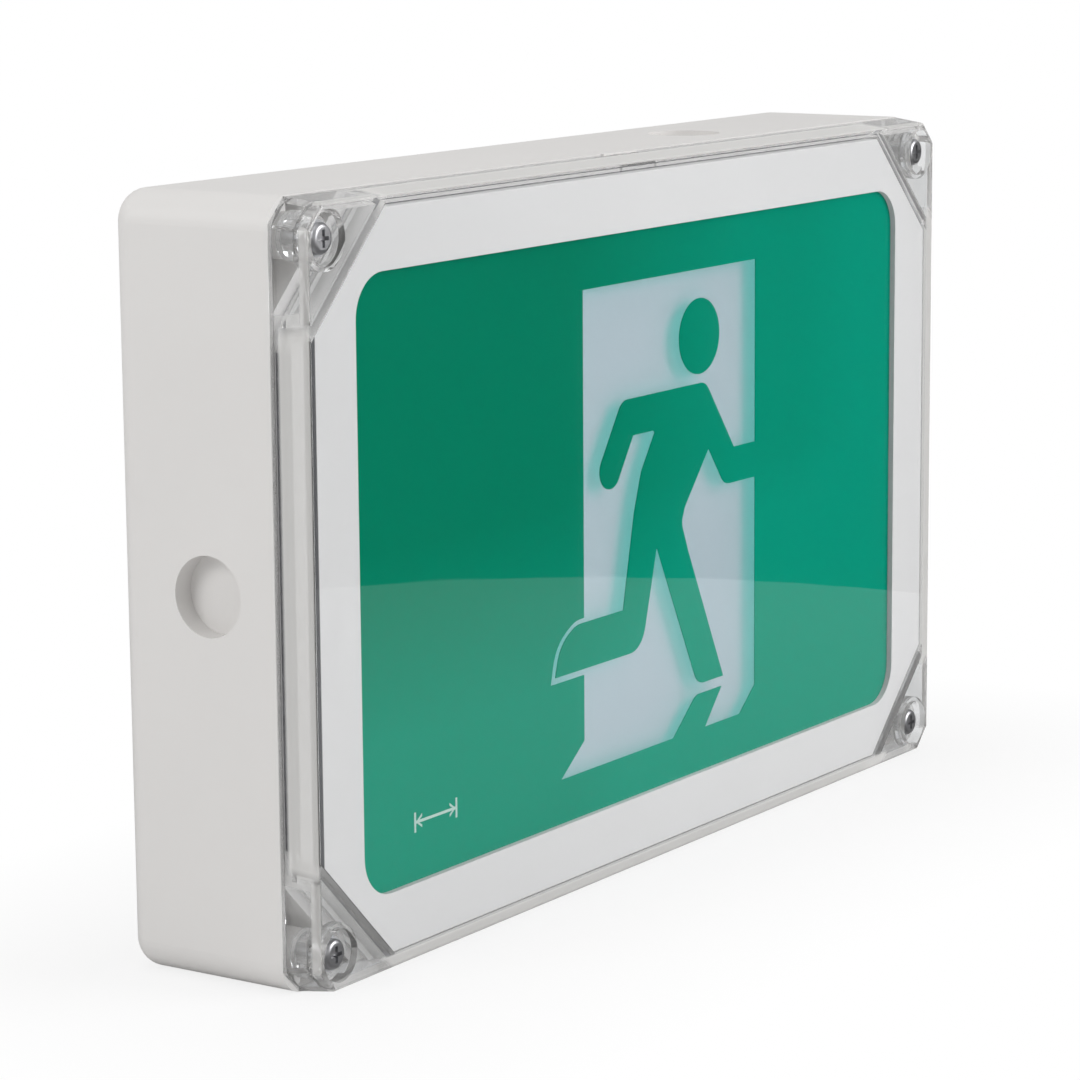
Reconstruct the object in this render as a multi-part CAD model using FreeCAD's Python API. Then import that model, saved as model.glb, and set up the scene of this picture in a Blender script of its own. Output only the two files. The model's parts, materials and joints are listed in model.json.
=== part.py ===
"""Weatherproof wall exit light: white base, clear screwed cover, lit legend and sealed control gear.

Millimetres.  The origin is the centre of the face that lies on the wall.
+X is right and +Z is up seen from the front; the legend faces -Y.
"""
import FreeCAD, Part
import math
import os

os.makedirs("parts", exist_ok=True)

V = FreeCAD.Vector
ROOT2 = math.sqrt(2.0)

# ---- envelope
WIDTH = 386.0
HEIGHT = 240.0
BASE_DEPTH = 60.0
COVER_DEPTH = 13.0
WALL = 3.0
CORNER_R = 10.0
REAR_R = 8.0

# ---- clearances
FIT = 0.05
SLIDE = 0.10
GAP = 0.3
LOOSE = 0.8

# ---- sealing rim of the base; its corners are cut off inside the cover screws
RIM = 8.0
RIM_DEPTH = 8.0
CORNER_CUT = 37.0
POCKET_FLOOR = 5.0

# ---- clear cover
COVER_INSET = 0.4
COVER_DRAFT = 1.6
COVER_WALL = 3.0
COVER_CHAMFER = 7.5
COVER_EDGE_R = 1.2
SEAL_LIP = 3.0
SEAL_LIP_H = 1.5
TAB_W = 20.0
TAB_H = 1.0
TAB_X = -5.0

# ---- gasket
GASKET_W = 2.1
GASKET_SHOW = 2.5
GROOVE_DEPTH = 1.0

# ---- cover screws
SCREW_INSET_X = 12.0
SCREW_INSET_Z = 12.5
SCREW_R = 2.0
SCREW_LENGTH = 24.0
SCREW_HEAD_R = 4.75
SCREW_HEAD_H = 2.4
SCREW_HOLE_R = 2.3
COUNTERBORE_R = 8.3
COUNTERBORE_DEPTH = 4.6
BOSS_R = 7.0
BOSS_CUP_WALL = 1.5
WASHER_R = 5.6
WASHER_T = 0.6
INSERT_R = 3.2
INSERT_LENGTH = 9.0
PILLAR_R = 6.5

# ---- legend tray and the plates in it
TRAY_INSET = 5.8
TRAY_CUT = 1.5
TRAY_SKIN = 2.0
TRAY_FLANGE = 1.6
TRAY_BACKSET = 0.8
BEZEL_X = 27.5
BEZEL_Z = 24.7
WINDOW_R = 13.6
PLATE_LAP = 3.0
PLATE_CUT = 13.0
PLATE_CORNER = 6.0
PLATE_T = 2.0
FILM_T = 0.3
SPACER_T = 3.0
SPACER_W = 2.5
POCKET_WALL = 2.0
SKIRT_REACH = 10.0
RETAINER_W = 12.0
RETAINER_T = 1.0
RETAINER_GRIP = 4.0
RETAINER_X = 101.0
RETAINER_Z = 44.0

# ---- pictogram
SIGN_MARGIN = 15.8
SIGN_X = 1.1
SIGN_Z = -0.6
MARK_T = 0.1
MARK_HALF = 11.5
MARK_TICK = 3.2
MARK_STROKE = 0.9
MARK_FROM_LEFT = 40.0
MARK_FROM_BASE = 18.5

# ---- conduit sockets and wall fixings
CONDUIT_R = 12.5
CONDUIT_DEPTH = 7.3
MEMBRANE_T = 1.5
SOCKET_WALL = 3.5
CONDUIT_BACK = 35.0
TOP_CONDUIT_FROM_RIGHT = 116.0
FIXING_INSET_X = 28.0
FIXING_INSET_Z = 50.0
FIXING_R = 2.75
FIXING_BOSS_R = 7.0
FIXING_BOSS_H = 2.0
ENTRY_R = 10.0
ENTRY_ABOVE_TERMINAL = 45.0

# ---- ribs that carry the legend tray, measured from the rim's corners
RIB_FROM_CORNER_X = 27.0
RIB_PITCH_X = 90.0
RIB_FROM_CORNER_Z = 23.0

# ---- gear tray and lamps
GEAR_MARGIN_X = 43.0
GEAR_MARGIN_Z = 35.0
GEAR_T = 1.0
GEAR_BACK = 30.0
GEAR_LIP = 8.0
STANDOFF_R = 4.0
STANDOFF_INSET = 15.0
SMALL_SCREW_R = 1.5
SMALL_SCREW_LENGTH = 9.0
SMALL_HEAD_R = 2.8
SMALL_HEAD_H = 1.8
WALL_BITE = 2.0
BOARD_MARGIN = 15.0
BOARD_H = 18.0
BOARD_T = 1.6
BOARD_FROM_EDGE = 43.0
LAMP_COUNT = 9
LAMP_SIZE = 3.5
LAMP_T = 0.9

# ---- control gear
DRIVER_LENGTH = 150.0
DRIVER_H = 42.0
DRIVER_DEPTH = 24.0
DRIVER_WALL = 1.6
DRIVER_CLEAR_X = 10.0
DRIVER_CLEAR_Z = 5.0
PORT_DEPTH = 14.9
BUTTON_PORT_DEPTH = 18.5
DRIVER_EAR = 9.0
PCB_T = 1.6
PCB_RISE = 4.0

# ---- battery
CELL_R = 11.5
PACK_LENGTH = 150.0
PACK_CLEAR_X = 13.0
PACK_CLEAR_Z = 1.7
SADDLE_W = 4.0
CLIP_W = 10.0
CLIP_T = 0.8
CELLS = 3
CELL_CHAMFER = 0.7

# ---- mains terminal
TERMINAL_L = 30.0
TERMINAL_W = 18.0
TERMINAL_T = 14.0
TERMINAL_FROM_LEADS = 54.0
TERMINAL_Z = 0.0
TERMINAL_SLIT = 1.2
WIRE_R = 1.1
WIRE_PITCH = 5.0

# ---- test button and charge lamp in the underside
BUTTON_FROM_RIGHT = 108.0
BUTTON_BACK = 20.0
BUTTON_R = 4.0
BUTTON_SINK = 0.8
BUTTON_TRAVEL = 2.0
BUSH_R = 6.0
BUSH_FLANGE_R = 9.0
BUSH_FLANGE_T = 2.0
RECESS_R = 10.5
RECESS_DEPTH = 5.0
RECESS_FLOOR = 3.0
SWITCH_SIZE = 14.0
SWITCH_H = 17.0
TAG_W = 3.0
TAG_T = 0.8
TAG_H = 4.8
CHAMBER = 12.0
BUSH_RISE = 5.0
COLLAR_R = 5.2
COLLAR_T = 1.4
SPRING_WIRE = 0.4
SPRING_R = 3.9
SPRING_TURNS = 5
LENS_PITCH = 21.0
LENS_R = 2.5

# ---- derived planes and outlines
HX = WIDTH / 2
HZ = HEIGHT / 2
SEAM = -BASE_DEPTH
FRONT = SEAM - COVER_DEPTH
GLASS_IN = FRONT + COVER_WALL
DIAGONAL = HX + HZ - CORNER_CUT
SCREW_X = HX - SCREW_INSET_X
SCREW_Z = HZ - SCREW_INSET_Z
CUP_FLOOR = FRONT + COUNTERBORE_DEPTH
HEAD_SEAT = CUP_FLOOR - WASHER_T
TRAY_FRONT = GLASS_IN + TRAY_BACKSET
TRAY_BACK = TRAY_FRONT + TRAY_SKIN
LIP_REAR = SEAM - GASKET_SHOW
LIP_FRONT = LIP_REAR - SEAL_LIP_H
GASKET_OUT = COVER_INSET + COVER_WALL + GAP + COVER_DRAFT * GASKET_SHOW / COVER_DEPTH
FILM_BACK = TRAY_BACK + FILM_T
LEGEND_BACK = FILM_BACK + PLATE_T
SPACER_BACK = LEGEND_BACK + SPACER_T
DIFFUSER_BACK = SPACER_BACK + PLATE_T
WINDOW_W = WIDTH - 2 * BEZEL_X
WINDOW_H = HEIGHT - 2 * BEZEL_Z
SIGN_H = WINDOW_H - 2 * SIGN_MARGIN
PLATE_HX = WINDOW_W / 2 + PLATE_LAP
PLATE_HZ = WINDOW_H / 2 + PLATE_LAP
PLATE_DIAGONAL = min(DIAGONAL - ROOT2 * PLATE_CUT, PLATE_HX + PLATE_HZ - PLATE_CORNER)
SKIRT_INSET = RIM + LOOSE
SKIRT_BACK = SEAM + SKIRT_REACH
FLOOR = -WALL
GEAR_FRONT = -GEAR_BACK - GEAR_T
BOARD_FRONT = GEAR_FRONT - BOARD_T
BUSH_TOP = RECESS_DEPTH + RECESS_FLOOR + BUSH_RISE
GEAR_HX = HX - GEAR_MARGIN_X
GEAR_HZ = HZ - GEAR_MARGIN_Z
STANDOFF_X = GEAR_HX - STANDOFF_INSET
STANDOFF_Z = GEAR_HZ - STANDOFF_INSET
BOARD_W = 2 * (GEAR_HX - BOARD_MARGIN)
BOARD_Z = GEAR_HZ - BOARD_FROM_EDGE
FIXING_X = HX - FIXING_INSET_X
FIXING_Z = HZ - FIXING_INSET_Z
TOP_CONDUIT_X = HX - TOP_CONDUIT_FROM_RIGHT
DRIVER_LEFT = -STANDOFF_X + STANDOFF_R + DRIVER_CLEAR_X + DRIVER_EAR
DRIVER_RIGHT = DRIVER_LEFT + DRIVER_LENGTH
DRIVER_Z = STANDOFF_Z - STANDOFF_R - DRIVER_CLEAR_Z - DRIVER_H / 2
PACK_LEFT = -STANDOFF_X + STANDOFF_R + PACK_CLEAR_X
PACK_RIGHT = PACK_LEFT + PACK_LENGTH
PACK_Z = -STANDOFF_Z + STANDOFF_R + PACK_CLEAR_Z + CLIP_W + CLIP_T + CELL_R
LEADS_X = max(DRIVER_RIGHT, PACK_RIGHT)
TERMINAL_X = LEADS_X + TERMINAL_FROM_LEADS
ENTRY_X = TERMINAL_X
ENTRY_Z = TERMINAL_Z + ENTRY_ABOVE_TERMINAL
BUTTON_X = HX - BUTTON_FROM_RIGHT
LENS_X = BUTTON_X + LENS_PITCH


# ---------------------------------------------------------------- helpers
def box(x0, x1, y0, y1, z0, z1):
    """A block between two corners, given in any order along each axis."""
    lo = V(min(x0, x1), min(y0, y1), min(z0, z1))
    return Part.makeBox(abs(x1 - x0), abs(y1 - y0), abs(z1 - z0), lo)


def rod(start, end, r):
    """A cylinder from one point to another."""
    a = V(*start)
    along = V(*end) - a
    return Part.makeCylinder(r, along.Length, a, along)


def rod_y(x, z, r, y0, y1):
    """A cylinder parallel to Y."""
    return rod((x, y0, z), (x, y1, z), r)


def tube_y(x, z, r_out, r_in, y0, y1):
    """A ring parallel to Y."""
    return rod_y(x, z, r_out, y0, y1).cut(rod_y(x, z, r_in, y0, y1))


def prism(wire, y0, y1):
    """A closed wire drawn at y0, extruded to y1."""
    return Part.Face(wire).extrude(V(0, y1 - y0, 0))


def octagon_wire(hx, hz, diagonal, y):
    """A rectangle whose corners are cut where abs(x) + abs(z) passes the diagonal."""
    a = diagonal - hz
    b = diagonal - hx
    ring = [(a, hz), (hx, b), (hx, -b), (a, -hz), (-a, -hz), (-hx, -b), (-hx, b), (-a, hz)]
    points = [V(x, y, z) for x, z in ring]
    return Part.makePolygon(points + points[:1])


def octagon(hx, hz, diagonal, y0, y1):
    """A cut-cornered slab."""
    return prism(octagon_wire(hx, hz, diagonal, y0), y0, y1)


def inset_slab(inset, y0, y1, cut=0.0):
    """The outline of the sealing rim, moved inwards, as a slab."""
    diagonal = DIAGONAL - ROOT2 * (inset + cut)
    return octagon(HX - inset, HZ - inset, diagonal, y0, y1)


def inset_ring(outer, inner, y0, y1, cut=0.0):
    """A band between two inward offsets of the sealing rim."""
    return inset_slab(outer, y0, y1, cut).cut(inset_slab(inner, y0, y1, cut))


def outline(corners, y):
    """A closed wire through (x, z) or (x, z, radius) corners."""
    n = len(corners)
    spots = [V(c[0], y, c[1]) for c in corners]
    trims = []
    for i, c in enumerate(corners):
        here = spots[i]
        before = (spots[i - 1] - here).normalize()
        after = (spots[(i + 1) % n] - here).normalize()
        r = c[2] if len(c) > 2 else 0.0
        if r <= 0:
            trims.append((here, here, here))
            continue
        half = before.getAngle(after) / 2
        reach = r / math.tan(half)
        middle = (before + after).normalize()
        top = here + middle * (r / math.sin(half) - r)
        trims.append((here + before * reach, top, here + after * reach))
    edges = []
    for i, (start, top, end) in enumerate(trims):
        if (end - start).Length > 1e-6:
            edges.append(Part.Arc(start, top, end).toShape())
        following = trims[(i + 1) % n][0]
        if (following - end).Length > 1e-6:
            edges.append(Part.LineSegment(end, following).toShape())
    return Part.Wire(edges)


def rounded_slab(hx, hz, r, y0, y1):
    """A rectangle with round corners, as a slab."""
    wire = outline([(-hx, -hz, r), (hx, -hz, r), (hx, hz, r), (-hx, hz, r)], y0)
    return prism(wire, y0, y1)


def fuse(shapes):
    """One solid from pieces that meet."""
    whole = shapes[0].multiFuse(shapes[1:]) if len(shapes) > 1 else shapes[0]
    return whole.removeSplitter()


def four(x, z):
    """The four places at plus and minus x and z."""
    return [(sx * x, sz * z) for sx in (-1, 1) for sz in (-1, 1)]


def wire_run(points, r, bend):
    """A round lead through points, with tangent arcs at the bends."""
    spots = [V(*p) for p in points]
    edges = []
    last = spots[0]
    for before, here, after in zip(spots, spots[1:], spots[2:]):
        u = (before - here).normalize()
        w = (after - here).normalize()
        half = u.getAngle(w) / 2
        reach = bend / math.tan(half)
        top = here + (u + w).normalize() * (bend / math.sin(half) - bend)
        edges.append(Part.LineSegment(last, here + u * reach).toShape())
        edges.append(Part.Arc(here + u * reach, top, here + w * reach).toShape())
        last = here + w * reach
    edges.append(Part.LineSegment(last, spots[-1]).toShape())
    path = Part.Wire(edges)
    start = Part.Wire([Part.makeCircle(r, spots[0], spots[1] - spots[0])])
    return path.makePipeShell([start], True, False)


def small_screw(x, z, seat, length=SMALL_SCREW_LENGTH):
    """A pan screw driven along +Y, its head resting at the seat plane."""
    head = rod_y(x, z, SMALL_HEAD_R, seat - SMALL_HEAD_H, seat)
    crown = [e for e in head.Edges if abs(e.BoundBox.YMax - (seat - SMALL_HEAD_H)) < 1e-4]
    head = head.makeFillet(SMALL_HEAD_H * 0.5, crown)
    slot_half = SMALL_HEAD_R * 0.6
    slot_w = SMALL_HEAD_H * 0.2
    deep = SMALL_HEAD_H * 0.5
    for half_x, half_z in ((slot_half, slot_w), (slot_w, slot_half)):
        y0 = seat - SMALL_HEAD_H
        head = head.cut(box(x - half_x, x + half_x, y0, y0 + deep, z - half_z, z + half_z))
    shank = rod_y(x, z, SMALL_SCREW_R, seat, seat + length)
    return fuse([head, shank])


NODES = {}


def node(name, *solids):
    """Keep a named piece; several solids are like pieces in one node."""
    NODES[name] = solids[0] if len(solids) == 1 else Part.makeCompound(list(solids))


# ---------------------------------------------------------------- base
def base_outside():
    """The outer box with its rounded corners and back edge."""
    body = rounded_slab(HX, HZ, CORNER_R, 0.0, SEAM)
    back = [e for e in body.Edges if e.BoundBox.YMin > -1e-4]
    return body.makeFillet(REAR_R, back)


def base_shell():
    """The outer box hollowed behind its rim, with a pocket outside the seal at each corner."""
    hollow = inset_slab(WALL, FLOOR, SEAM + RIM_DEPTH)
    back = [e for e in hollow.Edges if e.BoundBox.YMin > FLOOR - 1e-4]
    body = base_outside().cut(hollow.makeFillet(max(REAR_R - WALL, WALL / 4), back))
    body = body.cut(inset_slab(RIM, SEAM + RIM_DEPTH, SEAM))
    corners = rounded_slab(HX - WALL, HZ - WALL, CORNER_R - WALL, -POCKET_FLOOR, SEAM)
    middle = octagon(HX, HZ, DIAGONAL, -POCKET_FLOOR, SEAM)
    groove = inset_ring(GASKET_OUT, GASKET_OUT + GASKET_W, SEAM, SEAM + GROOVE_DEPTH)
    return body.cut(corners.cut(middle)).cut(groove)


def screw_pillars():
    """Pillars that take the cover screws, each tied to the walls by ribs."""
    pieces = []
    for x, z in four(SCREW_X, SCREW_Z):
        sx = math.copysign(1, x)
        sz = math.copysign(1, z)
        rib = WALL / 2
        pillar = rod_y(x, z, PILLAR_R, FLOOR, SEAM)
        side_rib = box(x, sx * (HX - WALL / 2), FLOOR, SEAM + WALL, z - rib, z + rib)
        end_rib = box(x - rib, x + rib, FLOOR, SEAM + WALL, z, sz * (HZ - WALL / 2))
        pieces.append(fuse([pillar, side_rib, end_rib]))
    return pieces


def pillar_bores():
    """Seats for the brass inserts, with room beyond for the screw ends."""
    end = HEAD_SEAT + SCREW_LENGTH + WALL
    cuts = []
    for x, z in four(SCREW_X, SCREW_Z):
        cuts.append(rod_y(x, z, INSERT_R, SEAM, SEAM + INSERT_LENGTH + GAP))
        cuts.append(rod_y(x, z, SCREW_HOLE_R, SEAM, end))
    return cuts


def conduit_places():
    """Mouth centre and inward direction of each conduit socket."""
    return [
        ((-HX, -CONDUIT_BACK, 0.0), (1, 0, 0)),
        ((HX, -CONDUIT_BACK, 0.0), (-1, 0, 0)),
        ((TOP_CONDUIT_X, -CONDUIT_BACK, HZ), (0, 0, -1)),
    ]


def conduit_round(place, inward, r, start, length):
    """A cylinder inwards from a socket's mouth."""
    begin = [p + d * start for p, d in zip(place, inward)]
    end = [p + d * (start + length) for p, d in zip(place, inward)]
    return rod(begin, end, r)


def rib_places():
    """Wall ribs that carry the legend tray: box limits along X and Z."""
    reach = SKIRT_INSET + TRAY_FLANGE + LOOSE
    half = WALL
    outer = DIAGONAL - HZ - RIB_FROM_CORNER_X
    inner = outer - RIB_PITCH_X
    side = DIAGONAL - HX - RIB_FROM_CORNER_Z
    places = []
    for sign in (-1, 1):
        for x in (-outer, -inner, inner, outer):
            places.append((x - half, x + half, sign * (HZ - reach), sign * (HZ - WALL / 2)))
        for z in (-side, side):
            places.append((sign * (HX - reach), sign * (HX - WALL / 2), z - half, z + half))
    return places


def standoff_places():
    """Six posts for the gear tray."""
    return four(STANDOFF_X, STANDOFF_Z) + [(0.0, -STANDOFF_Z), (0.0, STANDOFF_Z)]


def saddle_places():
    """Left ends of the two ribs under the battery."""
    return [PACK_LEFT + PACK_LENGTH * f - SADDLE_W / 2 for f in (0.12, 0.88)]


def pack_axis():
    """The battery pack's distance behind the wall face, as a Y value."""
    return FLOOR - CLIP_T - CELL_R


def battery_saddles():
    """Ribs hollowed to the round of the pack."""
    axis = pack_axis()
    pieces = []
    for x in saddle_places():
        rib = box(x, x + SADDLE_W, FLOOR, axis + CELL_R * 0.4, PACK_Z - CELL_R, PACK_Z + CELL_R)
        hollow = rod((x - 1, axis, PACK_Z), (x + SADDLE_W + 1, axis, PACK_Z), CELL_R)
        pieces.append(rib.cut(hollow))
    return pieces


def button_well():
    """The boss inside the underside that the test button's recess is cut in."""
    depth = RECESS_DEPTH + RECESS_FLOOR
    y = -BUTTON_BACK
    wall = RECESS_R + WALL
    return rod((BUTTON_X, y, -HZ + WALL / 2), (BUTTON_X, y, -HZ + depth), wall)


def base_housing():
    """The white moulding that holds everything and lies on the wall."""
    added = screw_pillars() + battery_saddles() + [button_well()]
    for place, inward in conduit_places():
        length = CONDUIT_DEPTH + MEMBRANE_T - WALL / 2
        added.append(conduit_round(place, inward, CONDUIT_R + SOCKET_WALL, WALL / 2, length))
    for x0, x1, z0, z1 in rib_places():
        added.append(box(x0, x1, FLOOR, SKIRT_BACK + GAP, z0, z1))
    for x, z in standoff_places():
        added.append(rod_y(x, z, STANDOFF_R, FLOOR, -GEAR_BACK))
    for x, z in four(FIXING_X, FIXING_Z):
        added.append(rod_y(x, z, FIXING_BOSS_R, FLOOR, FLOOR - FIXING_BOSS_H))
    inside = Part.makeCompound(added).common(base_outside())
    tab = box(TAB_X - TAB_W / 2, TAB_X + TAB_W / 2, SEAM, SEAM - TAB_H, HZ - WALL, HZ)
    body = base_shell().multiFuse(inside.Solids + [tab])
    cuts = pillar_bores()
    for place, inward in conduit_places():
        cuts.append(conduit_round(place, inward, CONDUIT_R, 0, CONDUIT_DEPTH))
    for x, z in standoff_places():
        pilot = SMALL_SCREW_R + FIT
        cuts.append(rod_y(x, z, pilot, -GEAR_BACK, -GEAR_BACK + SMALL_SCREW_LENGTH))
    for x, z in four(FIXING_X, FIXING_Z):
        cuts.append(rod_y(x, z, FIXING_R, 0, FLOOR - FIXING_BOSS_H))
    cuts.append(rod_y(ENTRY_X, ENTRY_Z, ENTRY_R, 0, FLOOR))
    for x, z in driver_ear_places() + clip_foot_places():
        cuts.append(rod_y(x, z, SMALL_SCREW_R + FIT, FLOOR, FLOOR + WALL_BITE))
    cuts += underside_cuts()
    return body.cut(Part.makeCompound(cuts)).removeSplitter()


def underside_cuts():
    """The button's recess and hole, and the charge lamp's hole."""
    y = -BUTTON_BACK
    top = -HZ + RECESS_DEPTH
    recess = rod((BUTTON_X, y, -HZ), (BUTTON_X, y, top), RECESS_R)
    hole = rod((BUTTON_X, y, top), (BUTTON_X, y, top + RECESS_FLOOR), BUSH_R + SLIDE)
    lens = rod((LENS_X, y, -HZ), (LENS_X, y, -HZ + WALL), LENS_R + SLIDE)
    return [recess, hole, lens]


def threaded_insert(x, z):
    """A brass insert with two knurled bands, in a pillar."""
    start = SEAM + GAP
    body = rod_y(x, z, INSERT_R - GAP, start, start + INSERT_LENGTH)
    band = INSERT_LENGTH * 0.3
    for y in (start + band * 0.3, start + INSERT_LENGTH - band * 1.3):
        body = body.fuse(rod_y(x, z, INSERT_R, y, y + band))
    bore = rod_y(x, z, SCREW_R + FIT, start, start + INSERT_LENGTH)
    return body.cut(bore).removeSplitter()


# ---------------------------------------------------------------- cover
def cover_octagon(inset, chamfer, y):
    """One section of the cover, measured in from the base's outline."""
    hx = HX - inset
    hz = HZ - inset
    return octagon_wire(hx, hz, hx + hz - chamfer, y)


def drafted(inset, chamfer, y_rear, y_front):
    """A block that narrows towards the front by the cover's draft."""
    slope = COVER_DRAFT / COVER_DEPTH
    at_front = inset + slope * (SEAM - y_front)
    at_rear = inset + slope * (SEAM - y_rear)
    rear = cover_octagon(at_rear, chamfer, y_rear)
    front = cover_octagon(at_front, chamfer, y_front)
    return Part.makeLoft([rear, front], True, True)


def clear_cover():
    """The clear moulding: skirt, front pane, corner walls, sealing lip and screw cups."""
    outer = drafted(COVER_INSET, COVER_CHAMFER, SEAM, FRONT)
    rim = [e for e in outer.Edges if e.BoundBox.YMax < FRONT + 1e-4]
    outer = outer.makeFillet(COVER_EDGE_R, rim)
    chamfer_in = COVER_CHAMFER - (2 - ROOT2) * COVER_WALL
    hollow = drafted(COVER_INSET + COVER_WALL, chamfer_in, SEAM, GLASS_IN)
    bite = COVER_WALL / 2
    added = []
    start = COVER_INSET + bite
    added.append(inset_ring(start, GASKET_OUT + SEAL_LIP, LIP_REAR, LIP_FRONT))
    wide = octagon(HX, HZ, DIAGONAL - ROOT2 * (GASKET_OUT - GAP), LIP_REAR, GLASS_IN)
    narrow = octagon(HX, HZ, DIAGONAL - ROOT2 * (GASKET_OUT + SEAL_LIP), LIP_REAR, GLASS_IN)
    added.append(wide.cut(narrow).common(outer))
    cup_rear = CUP_FLOOR + BOSS_CUP_WALL
    for x, z in four(SCREW_X, SCREW_Z):
        cup = rod_y(x, z, COUNTERBORE_R + BOSS_CUP_WALL, FRONT + bite, cup_rear)
        added.append(cup.common(outer))
        added.append(rod_y(x, z, BOSS_R, CUP_FLOOR, SEAM))
    body = outer.cut(hollow).multiFuse(added)
    cuts = []
    for x, z in four(SCREW_X, SCREW_Z):
        cuts.append(rod_y(x, z, COUNTERBORE_R, FRONT, CUP_FLOOR))
        cuts.append(rod_y(x, z, SCREW_HOLE_R, FRONT, SEAM))
    half = TAB_W / 2 + GAP
    cuts.append(box(TAB_X - half, TAB_X + half, SEAM, SEAM - TAB_H - GAP, HZ - WALL - GAP, HZ))
    return body.cut(Part.makeCompound(cuts)).removeSplitter()


def cover_gasket():
    """The rubber band between rim and cover, passing inside the screws."""
    return inset_ring(GASKET_OUT, GASKET_OUT + GASKET_W, SEAM + GROOVE_DEPTH, LIP_REAR)


def cover_screw(x, z):
    """A pan head machine screw with a cross recess."""
    top = HEAD_SEAT - SCREW_HEAD_H
    head = rod_y(x, z, SCREW_HEAD_R, top, HEAD_SEAT)
    crown = [e for e in head.Edges if abs(e.BoundBox.YMax - top) < 1e-4]
    head = head.makeFillet(SCREW_HEAD_H * 0.6, crown)
    arm = SCREW_HEAD_R * 0.55
    thin = SCREW_HEAD_R * 0.13
    floor = top + SCREW_HEAD_H * 0.6
    head = head.cut(box(x - arm, x + arm, top, floor, z - thin, z + thin))
    head = head.cut(box(x - thin, x + thin, top, floor, z - arm, z + arm))
    shank = rod_y(x, z, SCREW_R, HEAD_SEAT, HEAD_SEAT + SCREW_LENGTH)
    return fuse([head, shank])


# ---------------------------------------------------------------- legend
def window(y0, y1):
    """The legend's opening."""
    return rounded_slab(WINDOW_W / 2, WINDOW_H / 2, WINDOW_R, y0, y1)


def plate(y0, y1, shrink=0.0):
    """A sheet that drops into the legend tray's pocket."""
    diagonal = PLATE_DIAGONAL - ROOT2 * shrink
    return octagon(PLATE_HX - shrink, PLATE_HZ - shrink, diagonal, y0, y1)


def legend_tray():
    """The white bezel with its window, outer flange, skirt and plate pocket."""
    face = inset_slab(TRAY_INSET, TRAY_FRONT, TRAY_BACK, TRAY_CUT)
    edge = [e for e in face.Edges if e.BoundBox.YMax < TRAY_FRONT + 1e-4]
    face = face.makeFillet(TRAY_SKIN * 0.25, edge).cut(window(TRAY_FRONT, TRAY_BACK))
    flange_in = TRAY_INSET + TRAY_FLANGE
    flange = inset_ring(TRAY_INSET, flange_in, TRAY_BACK, LIP_FRONT - GAP, TRAY_CUT)
    skirt = inset_ring(SKIRT_INSET, SKIRT_INSET + TRAY_FLANGE, TRAY_BACK, SKIRT_BACK)
    seat = DIFFUSER_BACK + RETAINER_T
    pocket = plate(TRAY_BACK, seat, -GAP - POCKET_WALL).cut(plate(TRAY_BACK, seat, -GAP))
    return fuse([face, flange, skirt, pocket])


def sign_corners(corners):
    """Corners given as shares of the pictogram's height, turned into millimetres."""
    out = []
    for c in corners:
        spot = [SIGN_X + c[0] * SIGN_H, SIGN_Z + c[1] * SIGN_H]
        if len(c) > 2:
            spot.append(c[2] * SIGN_H)
        out.append(tuple(spot))
    return out


def sign_prism(corners, y0, y1):
    """A shape of the pictogram, as a thin slab."""
    return prism(outline(sign_corners(corners), y0), y0, y1)


def limb(a, b, width, y0, y1):
    """A straight round-ended limb of the figure."""
    (ax, az), (bx, bz) = sign_corners([a, b])
    r = width * SIGN_H / 2
    across = V(bz - az, 0, ax - bx).normalize() * r
    ring = [V(ax, y0, az) + across, V(bx, y0, bz) + across]
    ring += [V(bx, y0, bz) - across, V(ax, y0, az) - across]
    bar = prism(Part.makePolygon(ring + ring[:1]), y0, y1)
    return bar.fuse(rod_y(ax, az, r, y0, y1)).fuse(rod_y(bx, bz, r, y0, y1))


DOORWAY = [
    (-0.261, 0.497), (0.425, 0.497), (0.425, -0.449), (0.360, -0.503),
    (-0.352, -0.503), (-0.264, -0.437),
]
SHADOW = [(0.076, -0.510), (0.170, -0.431), (0.186, -0.425), (0.283, -0.425), (0.208, -0.510)]
TRUNK = [
    (-0.093, 0.253), (0.190, 0.253), (0.248, 0.129), (0.132, -0.006, 0.03),
    (0.118, -0.038, 0.03), (0.146, -0.105), (0.290, -0.403), (0.184, -0.403, 0.04),
    (0.147, -0.330), (0.019, -0.075), (-0.028, -0.240), (-0.045, -0.286, 0.06),
    (-0.370, -0.286), (-0.353, -0.222, 0.09), (-0.291, -0.189, 0.08), (-0.113, -0.189),
    (-0.069, 0.010), (-0.040, 0.095), (0.013, 0.170),
]
FOOT_EDGE = [
    (-0.388, -0.299), (-0.370, -0.220, 0.10), (-0.297, -0.179, 0.09), (-0.230, -0.179),
    (-0.230, -0.299),
]
HEAD = (0.192, 0.354)
HEAD_R = 0.0815
REAR_SHOULDER = (-0.093, 0.214)
REAR_HAND = (-0.161, 0.113)
FRONT_SHOULDER = (0.198, 0.214)
FRONT_ELBOW = (0.315, 0.058)
FRONT_HAND = (0.500, 0.057)
ARM_W = 0.078


def running_figure(y0, y1):
    """The figure's body, leaning through the doorway, apart from its head."""
    trunk = sign_prism(TRUNK, y0, y1)
    arms = [
        limb(REAR_SHOULDER, REAR_HAND, ARM_W, y0, y1),
        limb(REAR_SHOULDER, FRONT_SHOULDER, ARM_W, y0, y1),
        limb(FRONT_SHOULDER, FRONT_ELBOW, ARM_W, y0, y1),
        limb(FRONT_ELBOW, FRONT_HAND, ARM_W, y0, y1),
    ]
    return trunk.multiFuse(arms)


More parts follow.
